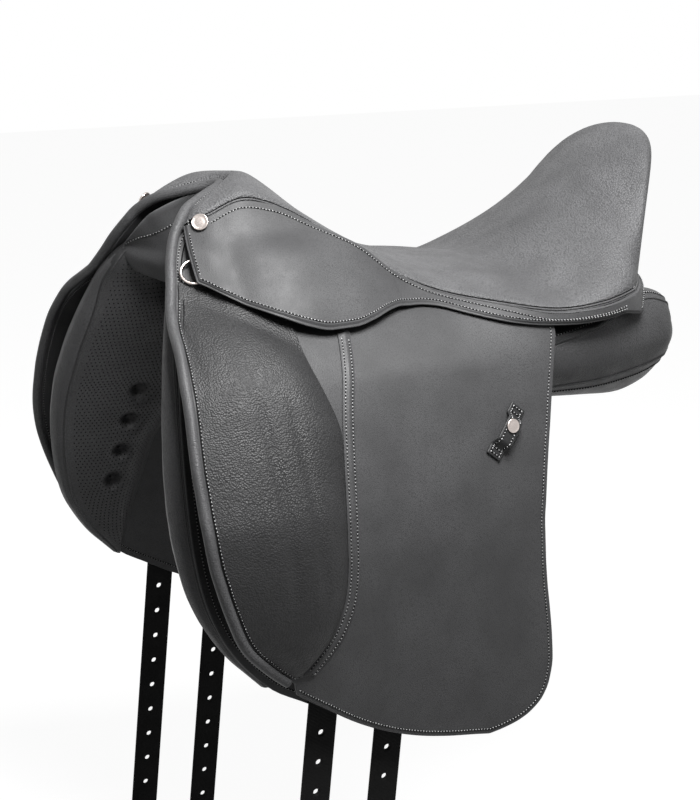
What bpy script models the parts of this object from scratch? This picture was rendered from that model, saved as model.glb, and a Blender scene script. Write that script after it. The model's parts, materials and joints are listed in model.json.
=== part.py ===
# A saddle with long straight flaps, a deep seat and long girth straps, modelled as separate pieces.
# Units are metres, with +Z up, the saddle's front towards -Y and the horse's left side at +X.
# The origin is on the centre line, under the deepest part of the seat, level with the panels' bearing.
# The left side is built, and each side piece is then mirrored to the right.

import math

import bmesh
import bpy
from mathutils import Matrix, Vector

# Driving sizes
CLEAR = 0.0004            # gap left between pieces that touch
FLAP_THICK = 0.0034       # leather of the flap
SKIRT_THICK = 0.0030      # leather of the skirt
SWEAT_THICK = 0.0024      # leather of the sweat flap
COVER_THICK = 0.0022      # leather of the seat cover
PIPING_RADIUS = 0.0044    # roll along the flap's front edge
WELT_RADIUS = 0.0014      # cord under the seat cover's edge
WELT_DROP = 0.0028        # its middle, below that edge
HINGE_Z = 0.062           # height of the line along which the flap bends
HINGE_GAP = 0.0006        # gap between a fixed piece and the one that bends from it
LOBE_GAP = 0.012          # half the same gap in the skirt, as a share of its depth
SKIRT_LIFT = 0.0022       # height of the skirt's underside over the flap at its edges
SKIRT_BULGE = 0.0128      # how much more it stands off over the stirrup bar
RING_BULGE = 0.0062       # and over the ring at its front corner
PAD_HEIGHT = 0.0170       # knee pad, at its thickest
PAD_EDGE = 0.0024         # knee pad, at its edges
STRAP_WIDTH = 0.0240      # girth straps
STRAP_THICK = 0.0032
STRAP_END_Z = -0.505
STRAP_SPLIT_Z = -0.268    # height at which a girth strap bends, under the flap
HOLE_SPACING = 0.0254
HOLE_RADIUS = 0.0027
HOLE_COUNT = 11
FIRST_HOLE_Z = -0.236
STRAP_LEAN = 0.095        # forward lean of the girth straps, as a slope
STUD_RADIUS = 0.0068
DISC_RADIUS = 0.0058
KEEPER_LENGTH = 0.047
KEEPER_WIDTH = 0.0135
KEEPER_RISE = 0.0066
BAR_HEIGHT = 0.0150       # stirrup bar
BAR_THICK = 0.0030
BAR_STANDOFF = 0.0052     # room for a stirrup leather behind it
BAR_PLATE = 0.0018
RIVET_RADIUS = 0.0022
RIVET_GAP = 0.0003        # between a rivet or pin and its hole
RING_RADIUS = 0.0105      # ring under the skirt's front corner
RING_WIRE = 0.0012
WEB_THICK = 0.0016
TREE_THICK = 0.0060
FOAM_GAP = 0.0028
FOAM_LIFT = 0.0013        # the foam's flat underside, above the seat's edge
PLATE_WIDTH = 0.028       # gullet plate, along the horse
PLATE_THICK = 0.0040

BLACK = (0.018, 0.018, 0.019)
LEATHER_ROUGH = 0.55


def table(*rows):
    """Rows in millimetres to rows in metres."""
    return [tuple(v / 1000.0 for v in row) for row in rows]


# The seat cover, as cross sections from the pommel to the back of the cantle.
# Each row: welt x, y, z, centre y, z, rise over the welt, reach from the centre, forward pull.
SEAT_ROWS = table(
    (51.5, -217, 158.5, -161, 185, 8, 12, -9),
    (57, -202, 166, -156, 187.5, 9, 20, -7),
    (58, -176, 176, -145, 182, 7, 26, -4),
    (60, -152, 171.5, -127, 169.5, 5, 26, 0),
    (64, -123, 157, -103, 151.5, 4, 28, 0),
    (73, -91, 135, -76, 135.5, 5, 32, 0),
    (87, -54, 111, -43, 119, 7, 36, 0),
    (104, -17, 95, -6, 109, 7, 42, 0),
    (126, 26, 86, 33, 105, 8, 44, 0),
    (141, 72, 79, 78, 111, 10, 42, 0),
    (147, 112, 82, 117, 129, 13, 38, 0),
    (138, 146, 87, 154, 158, 24, 38, 0),
    (119, 165, 88, 191, 190, 48, 42, 0),
    (97, 180, 89, 222, 208, 90, 54, 0),
    (73, 192, 91, 237, 202, 86, 52, 0),
    (47, 200, 93, 240, 179, 60, 38, 0),
    (22, 204, 96, 232, 142, 26, 18, 0),
    (3, 205, 98, 217, 108, 6, 3, 0),
)

# The outer edge of the flap's front roll, from the pommel down: height, x, y.
FRONT_LINE = table(
    (184, 0, -172), (180, 11, -184), (173, 23, -204), (165, 35, -220), (155, 47, -230.5),
    (145, 54, -237), (130, 67, -244), (115, 80, -249), (100, 101, -255), (85, 127, -261.5),
    (70, 148, -265.5), (50, 166, -269.5), (30, 179, -272), (10, 190, -274), (-10, 200, -275),
    (-30, 209, -275), (-50, 217, -274), (-70, 220, -271.5), (-90, 222, -266.5),
    (-115, 222, -258), (-140, 220, -247), (-162, 218, -228), (-185, 215, -201),
)

# How far out the flap lies at its front and at its rear, by height: height, x.
FLAP_FRONT_X = table(
    (-262, 205), (-225, 210), (-185, 215), (-140, 220), (-90, 222), (-70, 220), (-50, 216.5),
    (-30, 209), (-10, 200), (10, 190), (30, 179), (50, 166), (62, 156), (70, 149),
)
FLAP_REAR_X = table(
    (-262, 199), (-200, 195), (-150, 190), (-100, 185), (-60, 180), (-20, 172), (10, 165),
    (30, 159), (50, 153), (62, 149.5), (70, 147),
)
FLAP_FRONT_Y = -0.270
FLAP_REAR_Y = 0.066

# The flap's outline: height, front y and rear y.
FLAP_OUTLINE = table(
    (61.7, -266.8, 66), (50, -269.5, 63), (30, -272, 58), (10, -274, 53), (-10, -275, 49),
    (-30, -275, 45), (-50, -274, 41.5), (-70, -271.5, 39), (-90, -266.5, 37), (-115, -258, 37),
    (-140, -247, 38), (-162, -228, 40), (-185, -201, 41.5), (-205, -172, 42), (-225, -141, 38.5),
    (-238, -114, 32), (-248, -85, 21), (-254, -58, 9), (-258, -32, -6),
)
# The fixed part above it, up to the edge of the seat.
HEAD_OUTLINE = table(
    (62.3, -266.8, 66), (70, -265.5, 62), (76, -264, 36), (85, -261.5, -6), (100, -255, -43),
    (115, -249, -75), (130, -244, -98), (145, -237, -118), (153, -229, -129), (160, -214, -141),
    (165, -205, -154),
)

# The skirt: upper y, then lower y and height.
SKIRT_STATIONS = table(
    (-221.5, -233.5, 116), (-213, -222, 110.5), (-205, -207, 103.5), (-190, -190, 94),
    (-172, -174, 85.5), (-152, -155, 79), (-130, -133, 75.5), (-112, -114, 75.5),
    (-92, -94, 78), (-74, -76, 82), (-61, -61, 84.5), (-60.4, -60.4, 84.5), (-45, -45, 85),
    (-30, -30, 83.5), (-10, -10, 78.5), (12, 12, 73), (32, 32, 69), (58, 58, 66),
    (84, 84, 65), (110, 110, 66.5), (135, 135, 69.5),
)
SKIRT_SPLIT = (-0.0610, -0.0604)
# The line along which the free part of the skirt bends, from its front to its rear.
LOBE_LINE = table((-229, 148), (-61, 95))

# The sweat flap: height, x at the front and x at the rear.
SWEAT_X = table(
    (-245, 183, 177), (-195, 184, 175), (-160, 183, 173), (-140, 182, 172), (-120, 180, 170),
    (-100, 177, 168), (-80, 174, 166), (-60, 170, 163), (-40, 166, 160), (-20, 160, 157),
    (0, 153, 153), (20, 143, 148), (40, 132, 142), (60, 119, 135), (80, 105, 124),
    (100, 88, 108), (112, 76, 98),
)
SWEAT_OUTLINE = table(
    (70, -250, 30), (60, -254.5, 42), (40, -259, 44), (20, -262.5, 42), (0, -265, 39),
    (-20, -266.5, 36), (-40, -267, 33), (-60, -266.5, 30), (-80, -265, 28), (-100, -262, 27),
    (-120, -257, 27), (-140, -249, 27), (-160, -237, 27), (-180, -220, 28), (-195, -203, 28),
    (-208, -180, 27), (-220, -158, 22), (-230, -136, 12), (-238, -112, -4), (-243, -86, -26),
)

SWEAT_TOP = SWEAT_OUTLINE[0][0]

# The front leaf of the panel, against the horse's shoulder: height, front y, rear y and thickness.
LEAF_OUTLINE = table(
    (100, -249, -150, 14), (80, -253.5, -120, 22), (60, -258, -90, 26), (40, -262, -66, 28),
    (20, -265, -62, 30), (0, -267.5, -80, 31), (-20, -269, -115, 31), (-40, -269.5, -145, 31),
    (-60, -269, -164, 30), (-80, -267, -176, 29), (-100, -264, -182, 27), (-120, -259, -187, 24),
    (-140, -250, -193, 21), (-160, -238, -198, 17), (-178, -223, -203, 12), (-190, -213, -206, 8),
)

# The long bearing part of the panel: y, then eight corners x, z around each cross section.
BEARER_SECTIONS = [
    (-0.214, table((44, 106), (56, 110), (72, 96), (84, 78), (80, 66), (72, 70), (60, 84), (47, 96))),
    (-0.185, table((37, 110), (58, 117), (82, 96), (98, 66), (92, 50), (80, 54), (62, 74), (40, 94))),
    (-0.140, table((33, 106), (60, 111), (90, 86), (112, 48), (106, 28), (90, 30), (64, 56), (36, 84))),
    (-0.090, table((32, 88), (62, 92), (94, 74), (120, 36), (116, 10), (98, 8), (66, 32), (35, 62))),
    (-0.040, table((32, 74), (64, 78), (96, 64), (124, 30), (122, 2), (102, -6), (68, 12), (35, 44))),
    (0.015, table((32, 66), (66, 70), (98, 58), (128, 34), (128, 8), (106, -4), (70, 2), (35, 30))),
    (0.070, table((32, 62), (68, 66), (100, 60), (132, 44), (134, 18), (110, -4), (72, -8), (35, 20))),
    (0.125, table((32, 62), (70, 67), (102, 63), (132, 52), (134, 24), (110, -6), (72, -14), (35, 14))),
    (0.170, table((32, 62), (70, 66), (98, 64), (118, 54), (124, 28), (104, -4), (70, -19), (34, 14))),
    (0.204, table((32, 60), (62, 64), (86, 62), (104, 52), (108, 30), (92, 2), (66, -15), (36, 10))),
    (0.217, table((33, 62), (56, 72), (76, 66), (92, 50), (96, 30), (84, 6), (62, -9), (36, 16))),
    (0.231, table((36, 54), (54, 60), (70, 54), (82, 42), (84, 26), (74, 8), (58, -1), (40, 20))),
    (0.242, table((45, 42), (55, 46), (63, 42), (69, 34), (70, 24), (64, 15), (56, 11), (47, 22))),
]

# The gullet plate's arch, seen from the front: x, z.
PLATE_ARCH = table(
    (0, 150), (28, 147), (50, 138), (72, 122), (92, 105), (110, 88), (123.5, 71), (133, 55), (141.5, 39),
)
PLATE_TOP = PLATE_ARCH[0][1]
PLATE_Y = -0.139
PLATE_LEAN = 0.5
SCREW_RADIUS = 0.0030
SCREW_REACH = 0.0085      # above the plate's top, into the tree

# Tufts sewn through the front leaf: y, z.
TUFTS = table((-202, -12), (-209, -44), (-214.5, -76), (-220.5, -107))
TUFT_LINE = [(z, y) for y, z in TUFTS]
TUFT_DEPTH = 0.011
TUFT_REACH = 0.0085


def clear_scene():
    for item in list(bpy.data.objects):
        bpy.data.objects.remove(item, do_unlink=True)


def lookup(rows, key, column=1):
    """A smooth curve through a table's rows, by its first column."""
    if rows[0][0] > rows[-1][0]:
        rows = rows[::-1]
    if key <= rows[0][0]:
        return rows[0][column]
    if key >= rows[-1][0]:
        return rows[-1][column]
    i = 0
    while rows[i + 1][0] < key:
        i += 1
    x0 = rows[i][0]
    x1 = rows[i + 1][0]
    y0 = rows[i][column]
    y1 = rows[i + 1][column]
    slope = (y1 - y0) / (x1 - x0)

    def tangent(k):
        if k == 0 or k == len(rows) - 1:
            return slope
        left = (rows[k][column] - rows[k - 1][column]) / (rows[k][0] - rows[k - 1][0])
        right = (rows[k + 1][column] - rows[k][column]) / (rows[k + 1][0] - rows[k][0])
        if left * right <= 0:
            return 0.0
        return 2 * left * right / (left + right)

    h = x1 - x0
    t = (key - x0) / h
    m0 = tangent(i) * h
    m1 = tangent(i + 1) * h
    return (
        y0 * (2 * t**3 - 3 * t**2 + 1)
        + m0 * (t**3 - 2 * t**2 + t)
        + y1 * (-2 * t**3 + 3 * t**2)
        + m1 * (t**3 - t**2)
    )


def mix(a, b, t):
    return a + (b - a) * t


def flipped(point):
    """The same point on the other side."""
    return Vector((-point.x, point.y, point.z))


def spread(a, b, count):
    """Evenly spread values from a to b."""
    return [mix(a, b, i / (count - 1)) for i in range(count)]


WELT = [(row[1], row[0], row[2]) for row in SEAT_ROWS]
# The heights between which the flap's head ends at the front roll, not at the seat.
ROLL_EDGE = (0.080, 0.160)
EDGE = sorted([(y, x, z) for z, x, y in FRONT_LINE if ROLL_EDGE[0] < z < ROLL_EDGE[1]] + WELT)


def edge_point(y):
    """Where the head of the flap meets the roll or the seat: x and z."""
    return lookup(EDGE, y, 1), lookup(EDGE, y, 2)


def flap_x(y, z):
    """How far out the flap's outer face lies."""
    t = min(max((y - FLAP_FRONT_Y) / (FLAP_REAR_Y - FLAP_FRONT_Y), 0), 1.25)
    if z <= HINGE_Z:
        return mix(lookup(FLAP_FRONT_X, z), lookup(FLAP_REAR_X, z), t)
    x_low = mix(lookup(FLAP_FRONT_X, HINGE_Z), lookup(FLAP_REAR_X, HINGE_Z), t)
    x_top, z_top = edge_point(y)
    if z_top - HINGE_Z < 0.012:
        return mix(lookup(FLAP_FRONT_X, z), lookup(FLAP_REAR_X, z), t)
    u = min((z - HINGE_Z) / (z_top - HINGE_Z), 1.1)
    return x_low + (x_top - x_low) * (u + 0.45 * u * (1 - u))


def sweat_x(y, z):
    t = min(max((y - FLAP_FRONT_Y) / (FLAP_REAR_Y - FLAP_FRONT_Y), 0), 1)
    return mix(lookup(SWEAT_X, z, 1), lookup(SWEAT_X, z, 2), t)


def on_surface(field, y, z, out=0.0):
    """A point on a side surface, moved outwards along its normal."""
    step = 0.002
    slope_y = (field(y + step, z) - field(y - step, z)) / (2 * step)
    slope_z = (field(y, z + step) - field(y, z - step)) / (2 * step)
    normal = Vector((1, -slope_y, -slope_z)).normalized()
    return Vector((field(y, z), y, z)) + normal * out


def surface_frame(field, y, z, angle=0.0):
    """A matrix on a side surface: X along it to the rear, turned by an angle, Z outwards."""
    step = 0.003
    origin = on_surface(field, y, z)
    along = (on_surface(field, y + step, z) - origin).normalized()
    up = (on_surface(field, y, z + step) - origin).normalized()
    normal = along.cross(up).normalized()
    if normal.x < 0:
        normal = -normal
    up = normal.cross(along)
    first = along * math.cos(angle) + up * math.sin(angle)
    second = normal.cross(first)
    frame = Matrix((first, second, normal)).transposed().to_4x4()
    frame.translation = origin
    return frame


def material(name, colour, roughness, metallic=0.0):
    found = bpy.data.materials.get(name)
    if found:
        return found
    made = bpy.data.materials.new(name)
    made.use_nodes = True
    shader = made.node_tree.nodes["Principled BSDF"]
    shader.inputs["Base Color"].default_value = (*colour, 1)
    shader.inputs["Roughness"].default_value = roughness
    shader.inputs["Metallic"].default_value = metallic
    made.diffuse_color = (*colour, 1)
    return made


def leather():
    return material("black_leather", BLACK, LEATHER_ROUGH)


def smooth_leather():
    return material("smooth_black_leather", (0.022, 0.022, 0.023), 0.6)


def lining():
    return material("lining", (0.03, 0.03, 0.031), 0.7)


def webbing():
    return material("webbing", (0.012, 0.012, 0.012), 0.8)


def steel():
    return material("steel", (0.62, 0.62, 0.63), 0.25, 1.0)


def silver():
    return material("silver", (0.75, 0.72, 0.70), 0.3, 1.0)


def moulded():
    return material("moulded_plastic", (0.03, 0.03, 0.03), 0.45)


def foam():
    return material("foam", (0.55, 0.55, 0.5), 0.9)


def add_object(name, mesh, surface, origin=None, smooth=True):
    """An object from a mesh in world coordinates, with its origin where its joint is."""
    item = bpy.data.objects.new(name, mesh)
    bpy.context.collection.objects.link(item)
    mesh.materials.clear()
    mesh.materials.append(surface)
    if smooth:
        mesh.shade_smooth()
        mesh.set_sharp_from_angle(angle=math.radians(40))
    if origin is not None:
        mesh.transform(Matrix.Translation(-Vector(origin)))
        item.location = origin
    return item


def mesh_from(points, faces, name="shape"):
    mesh = bpy.data.meshes.new(name)
    mesh.from_pydata([tuple(p) for p in points], [], faces)
    tidy(mesh)
    return mesh


def tidy(mesh):
    """Merges doubled points and turns the faces outwards."""
    work = bmesh.new()
    work.from_mesh(mesh)
    bmesh.ops.remove_doubles(work, verts=work.verts, dist=0.00002)
    bmesh.ops.dissolve_degenerate(work, edges=work.edges, dist=0.00001)
    bmesh.ops.recalc_face_normals(work, faces=work.faces)
    if work.calc_volume(signed=True) < 0:
        bmesh.ops.reverse_faces(work, faces=work.faces)
    work.to_mesh(mesh)
    work.free()


def slab(outer, inner):
    """A closed solid between two grids of points with the same rows and columns."""
    rows = len(outer)
    columns = len(outer[0])
    points = [p for row in outer for p in row] + [p for row in inner for p in row]
    half = rows * columns
    faces = []
    for i in range(rows - 1):
        for j in range(columns - 1):
            a = i * columns + j
            b = a + 1
            c = a + columns + 1
            d = a + columns
            faces.append((a, b, c, d))
            faces.append((half + d, half + c, half + b, half + a))
    rim = [(0, j) for j in range(columns)]
    rim += [(i, columns - 1) for i in range(1, rows)]
    rim += [(rows - 1, j) for j in range(columns - 2, -1, -1)]
    rim += [(i, 0) for i in range(rows - 2, 0, -1)]
    for k, (i, j) in enumerate(rim):
        m, n = rim[(k + 1) % len(rim)]
        a = i * columns + j
        b = m * columns + n
        faces.append((b, a, half + a, half + b))
    return mesh_from(points, faces)


def loft(sections):
    """A closed solid through rings of points, with its ends filled."""
    count = len(sections[0])
    points = [p for ring in sections for p in ring]
    faces = []
    for i in range(len(sections) - 1):
        for j in range(count):
            k = (j + 1) % count
            a = i * count
            b = a + count
            faces.append((a + j, a + k, b + k, b + j))
    faces.append(tuple(range(count - 1, -1, -1)))
    faces.append(tuple(range(len(points) - count, len(points))))
    return mesh_from(points, faces)


def tube(path, radius, sides=8, level_start=False, level_end=False):
    """A round bar along a path, with flat ends, either of them cut level."""
    rings = []
    side = None
    for i, point in enumerate(path):
        ahead = path[min(i + 1, len(path) - 1)]
        behind = path[max(i - 1, 0)]
        forward = (Vector(ahead) - Vector(behind)).normalized()
        if side is None:
            side = forward.orthogonal().normalized()
        side = (side - forward * side.dot(forward)).normalized()
        other = forward.cross(side)
        ring = []
        for k in range(sides):
            turn = 2 * math.pi * k / sides
            ring.append(Vector(point) + (side * math.cos(turn) + other * math.sin(turn)) * radius)
        if (level_start and i == 0) or (level_end and i == len(path) - 1):
            ring = [p + forward * ((point.z - p.z) / forward.z) for p in ring]
        rings.append(ring)
    return loft(rings)


def closed_tube(path, radius, sides=8):
    """A round bar along a closed path."""
    count = len(path)
    points = []
    side = None
    for i, point in enumerate(path):
        forward = (Vector(path[(i + 1) % count]) - Vector(path[i - 1])).normalized()
        if side is None:
            side = forward.orthogonal().normalized()
        side = (side - forward * side.dot(forward)).normalized()
        other = forward.cross(side)
        for k in range(sides):
            turn = 2 * math.pi * k / sides
            points.append(Vector(point) + (side * math.cos(turn) + other * math.sin(turn)) * radius)
    faces = []
    for i in range(count):
        for j in range(sides):
            k = (j + 1) % sides
            a = i * sides
            b = ((i + 1) % count) * sides
            faces.append((a + j, a + k, b + k, b + j))
    return mesh_from(points, faces)


def lathe(profile, frame, steps=16):
    """A turned solid about its frame's Z, from radius and height pairs that start and end on the axis."""
    points = []
    rings = []
    for radius, height in profile:
        if radius < 1e-7:
            rings.append([len(points)])
            points.append(frame @ Vector((0, 0, height)))
            continue
        ring = []
        for k in range(steps):
            turn = 2 * math.pi * k / steps
            ring.append(len(points))
            points.append(frame @ Vector((radius * math.cos(turn), radius * math.sin(turn), height)))
        rings.append(ring)
    faces = []
    for low, high in zip(rings, rings[1:]):
        for k in range(steps):
            m = (k + 1) % steps
            corners = [low[k % len(low)], low[m % len(low)], high[m % len(high)], high[k % len(high)]]
            face = []
            for corner in corners:
                if corner not in face:
                    face.append(corner)
            faces.append(tuple(face))
    return mesh_from(points, faces)


def drill(radius, low, high, frame, steps):
    """A solid the size of a hole, about its frame's Z."""
    return lathe([(0, low), (radius, low), (radius, high), (0, high)], frame, steps)


def box(frame, low, high):
    """A box between two corners of a frame."""
    points = [
        frame @ Vector((x, y, z)) for x in (low[0], high[0]) for y in (low[1], high[1])
        for z in (low[2], high[2])
    ]
    faces = [(0, 1, 3, 2), (4, 6, 7, 5), (0, 4, 5, 1), (2, 3, 7, 6), (0, 2, 6, 4), (1, 5, 7, 3)]
    return mesh_from(points, faces)


def combine(mesh, other, operation="UNION"):
    """A Boolean of two meshes, as a new mesh."""
    first = bpy.data.objects.new("first", mesh)
    second = bpy.data.objects.new("second", other)
    bpy.context.collection.objects.link(first)
    bpy.context.collection.objects.link(second)
    modifier = first.modifiers.new("combine", "BOOLEAN")
    modifier.operation = operation
    modifier.object = second
    depsgraph = bpy.context.evaluated_depsgraph_get()
    result = bpy.data.meshes.new_from_object(first.evaluated_get(depsgraph))
    bpy.data.objects.remove(first)
    bpy.data.objects.remove(second)
    tidy(result)
    return result


def mirrored(mesh):
    result = mesh.copy()
    result.transform(Matrix.Scale(-1, 4, (1, 0, 0)))
    result.flip_normals()
    return result


def add_pair(name, mesh, surface, origin=None, smooth=True):
    """The left piece and its mirrored twin on the right."""
    other = mirrored(mesh)
    add_object(name + "_left", mesh, surface, origin, smooth)
    if origin is not None:
        origin = (-origin[0], origin[1], origin[2])
    add_object(name + "_right", other, surface, origin, smooth)


def side_sheet(field, outline, out, thickness, columns, inset=None, rows=None):
    """A sheet on a side surface, inside an outline of heights with front and rear y."""
    outer = []
    inner = []
    for z in rows or [row[0] for row in outline]:
        front = lookup(outline, z, 1) + (inset(z) if inset else 0)
        rear = lookup(outline, z, 2)
        ys = spread(front, rear, columns)
        outer.append([on_surface(field, y, z, out) for y in ys])
        inner.append([on_surface(field, y, z, out - thickness) for y in ys])
    return slab(outer, inner)


# Middles of the stirrup bar and of the ring on the flap: y, z.
BAR_PLACE = (-0.128, 0.108)
RING_PLACE = (-0.224, 0.1205)


def skirt_out(y, z):
    """How far the skirt's underside stands off the flap."""
    bar = (y - BAR_PLACE[0]) / 0.062, (z - BAR_PLACE[1]) / 0.032
    ring = (y - RING_PLACE[0]) / 0.022, (z - RING_PLACE[1]) / 0.024
    over_bar = SKIRT_BULGE * math.exp(-bar[0] ** 4 - bar[1] ** 4)
    over_ring = RING_BULGE * math.exp(-ring[0] ** 4 - ring[1] ** 4)
    return SKIRT_LIFT + over_bar + over_ring


def lobe_z(y):
    (y0, z0), (y1, z1) = LOBE_LINE
    return mix(z0, z1, (y - y0) / (y1 - y0))


# The seat

def seat_row(value):
    """A cross section's values at a place between the rows of the table."""
    i = min(int(value), len(SEAT_ROWS) - 2)
    t = value - i
    result = []
    for column in range(len(SEAT_ROWS[0])):
        a = SEAT_ROWS[max(i - 1, 0)][column]
        b = SEAT_ROWS[i][column]
        c = SEAT_ROWS[i + 1][column]
        d = SEAT_ROWS[min(i + 2, len(SEAT_ROWS) - 1)][column]
        result.append(0.5 * (2 * b + (c - a) * t + (2 * a - 5 * b + 4 * c - d) * t**2
                             + (3 * b - a - 3 * c + d) * t**3))
    return result


def seat_point(value, across):
    """A point on the seat cover: value runs to the cantle, across from -1 (right) to 1 (left)."""
    x, y, z, y_mid, z_mid, rise, reach, pull = seat_row(value)
    t = 1 - abs(across)
    lean = 0.10 * rise
    start = Vector((x, y, z))
    first = start + Vector((lean, mix(0, 0.1, value / (len(SEAT_ROWS) - 1)) * rise, rise))
    last = Vector((0, y_mid, z_mid))
    second = last + Vector((reach, pull, 0.12 * pull))
    s = 1 - t
    point = start * s**3 + first * 3 * s**2 * t + second * 3 * s * t**2 + last * t**3
    if across < 0:
        point.x = -point.x
    return point


def seat_line(value, columns, inset=0.0, reach=1.0):
    """Points across the seat cover, moved inwards by an inset and out to a reach from the centre line."""
    step = 0.02
    last = len(SEAT_ROWS) - 1
    line = []
    for across in spread(-reach, reach, columns):
        point = seat_point(value, across)
        if inset:
            along = seat_point(min(value + step, last), across) - seat_point(max(value - step, 0), across)
            side = seat_point(value, min(across + step, 1)) - seat_point(value, max(across - step, -1))
            point = point - side.cross(along).normalized() * inset
        line.append(point)
    return line


def seat_grid(rows, columns, inset):
    return [seat_line(value, columns, inset) for value in spread(0, len(SEAT_ROWS) - 1, rows)]


SEAT_LINES = 25
SEAT_COLUMNS = 15


def build_seat_cover():
    outer = seat_grid(SEAT_LINES, SEAT_COLUMNS, 0)
    inner = seat_grid(SEAT_LINES, SEAT_COLUMNS, COVER_THICK)
    add_object("seat_cover", slab(outer, inner), leather())


def floor_height(y):
    """Height of the seat's underside, level with the welt."""
    return lookup(WELT, y, 2)


def build_seat_foam():
    """The padding between the seat cover and the tree, flat underneath."""
    columns = 8
    top = []
    bottom = []
    back = [(row[0], row[1]) for row in SEAT_ROWS if row[1] > 0.14]
    values = spread(0, len(SEAT_ROWS) - 1, SEAT_LINES)[2:-2]
    for i, value in enumerate(values):
        margin = 0.0075 + 0.0005 * (len(values) - i)
        for reach in spread(0.92, 0.40, 14):
            line = seat_line(value, columns, COVER_THICK + FOAM_GAP, reach)
            lower = []
            for point in line:
                y = min(point.y, lookup(back, abs(point.x), 1) - margin)
                lower.append(Vector((point.x * 0.96, y, floor_height(y) + FOAM_LIFT)))
            if line[0].z - lower[0].z > 0.0015:
                break
        top.append(line)
        bottom.append(lower)
    add_object("seat_foam", slab(top, bottom), foam())


def build_seat_welt():
    """The cord under the edge of the seat cover, from the pommel round the cantle."""
    path = []
    last = len(SEAT_ROWS) - 1
    for i in range(22):
        value = mix(0.15, last, i / 21)
        x, y, z = seat_row(value)[:3]
        near = seat_row(max(value - 0.1, 0))
        far = seat_row(min(value + 0.1, last))
        along = Vector((far[0] - near[0], far[1] - near[1], 0)).normalized()
        outward = Vector((along.y, -along.x, 0))
        path.append(Vector((x, y, z)) + outward * WELT_RADIUS * 0.2 - Vector((0, 0, WELT_DROP)))
    path = path[:-1] + [Vector((0, path[-1].y + 0.0002, path[-1].z))]
    path += [flipped(p) for p in reversed(path[:-1])]
    add_object("seat_welt", tube(path, WELT_RADIUS, 6), leather())


# The tree, which carries everything

RAIL_LOW = table(
    (-165, 97), (-150, 94), (-120, 91), (-90, 88), (-60, 82), (-30, 76), (0, 72), (40, 70), (166, 72),
)
HEAD_Y = (-0.149, -0.126)
TREE_REAR = 0.192


def wall_x(y, z, depth):
    """How far out a face lies that is at a depth behind the flap's outer face."""
    step = 0.002
    slope_y = (flap_x(y + step, z) - flap_x(y - step, z)) / (2 * step)
    slope_z = (flap_x(y, z + step) - flap_x(y, z - step)) / (2 * step)
    return flap_x(y, z) - depth * math.sqrt(1 + slope_y**2 + slope_z**2)


def rail_top(y):
    return floor_height(y) - 0.0046


def rail_section(y):
    """A cross section of the tree's side rail: a flange under the seat and a wall inside the flap."""
    x_edge = lookup(WELT, y, 1)
    top = rail_top(y)
    low = min(lookup(RAIL_LOW, y), top - 0.010)
    rim = x_edge - 0.007
    inner = mix(0.030, rim, 0.35)
    outer = []
    back = []
    for share in spread(0.25, 1, 4):
        z = mix(top, low, share)
        face = rim + 0.001 * share
        if y < -0.030:
            face = max(rim, wall_x(y, z, FLAP_THICK + 0.0006))
        elif y < FLAP_REAR_Y:
            face = min(face, wall_x(y, z, FLAP_THICK + 0.0010))
        outer.append(Vector((face, y, z)))
        back.append(Vector((face - 1.2 * TREE_THICK, y, max(z - 0.3 * TREE_THICK * (1 - share), low))))
    back = [p for p in back if p.z < top - TREE_THICK] or back[-1:]
    while len(back) < 4:
        back = [back[0].lerp(Vector((back[0].x, y, top - TREE_THICK)), 0.5)] + back
    return (
        [Vector((inner, y, top)), Vector((rim, y, top))] + outer + back[::-1]
        + [Vector((rim - TREE_THICK, y, top - TREE_THICK)), Vector((inner, y, top - TREE_THICK))]
    )


def build_tree():
    left = loft([rail_section(y) for y in spread(-0.165, 0.166, 14)])
    tree = combine(left, mirrored(left))
    rings = []
    for y in spread(HEAD_Y[0], HEAD_Y[1], 4):
        x_edge = lookup(WELT, y, 1) - 0.010
        rings.append([
            Vector((-x_edge, y, rail_top(y))), Vector((x_edge, y, rail_top(y))),
            Vector((x_edge, y, PLATE_TOP + CLEAR)), Vector((-x_edge, y, PLATE_TOP + CLEAR)),
        ])
    tree = combine(tree, loft(rings))
    rings = []
    for y in spread(0.148, TREE_REAR, 5):
        x_edge = lookup(WELT, y, 1) - 0.012
        top = rail_top(y)
        rings.append([
            Vector((-x_edge, y, top)), Vector((x_edge, y, top)),
            Vector((x_edge, y, top - TREE_THICK)), Vector((-x_edge, y, top - TREE_THICK)),
        ])
    tree = combine(tree, loft(rings))
    hole = SCREW_RADIUS + CLEAR
    tree = combine(tree, drill(hole, -0.01, SCREW_REACH, screw_frame(), 12), "DIFFERENCE")
    for side in (1, -1):
        for frame in rivet_frames(side):
            tree = combine(tree, drill(RIVET_RADIUS + RIVET_GAP, -0.03, 0.02, frame, 10), "DIFFERENCE")
    add_object("tree", tree, moulded())


def arch_ring(inset, spread_y):
    """Points down the gullet plate's arch, from one tip to the other, moved inwards."""
    right = [Vector((-x, 0, z)) for x, z in reversed(PLATE_ARCH)]
    left = [Vector((x, 0, z)) for x, z in PLATE_ARCH[1:]]
    line = right + left
    result = []
    for i, point in enumerate(line):
        ahead = line[min(i + 1, len(line) - 1)]
        behind = line[max(i - 1, 0)]
        along = (ahead - behind).normalized()
        inward = Vector((along.z, 0, -along.x))
        shifted = point + inward * inset
        result.append(Vector((shifted.x, plate_y(point.z) + spread_y, shifted.z)))
    return result


def plate_y(z):
    """The gullet plate's middle: its points lean forward as they go down."""
    return PLATE_Y - PLATE_LEAN * (PLATE_TOP - z)


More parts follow.
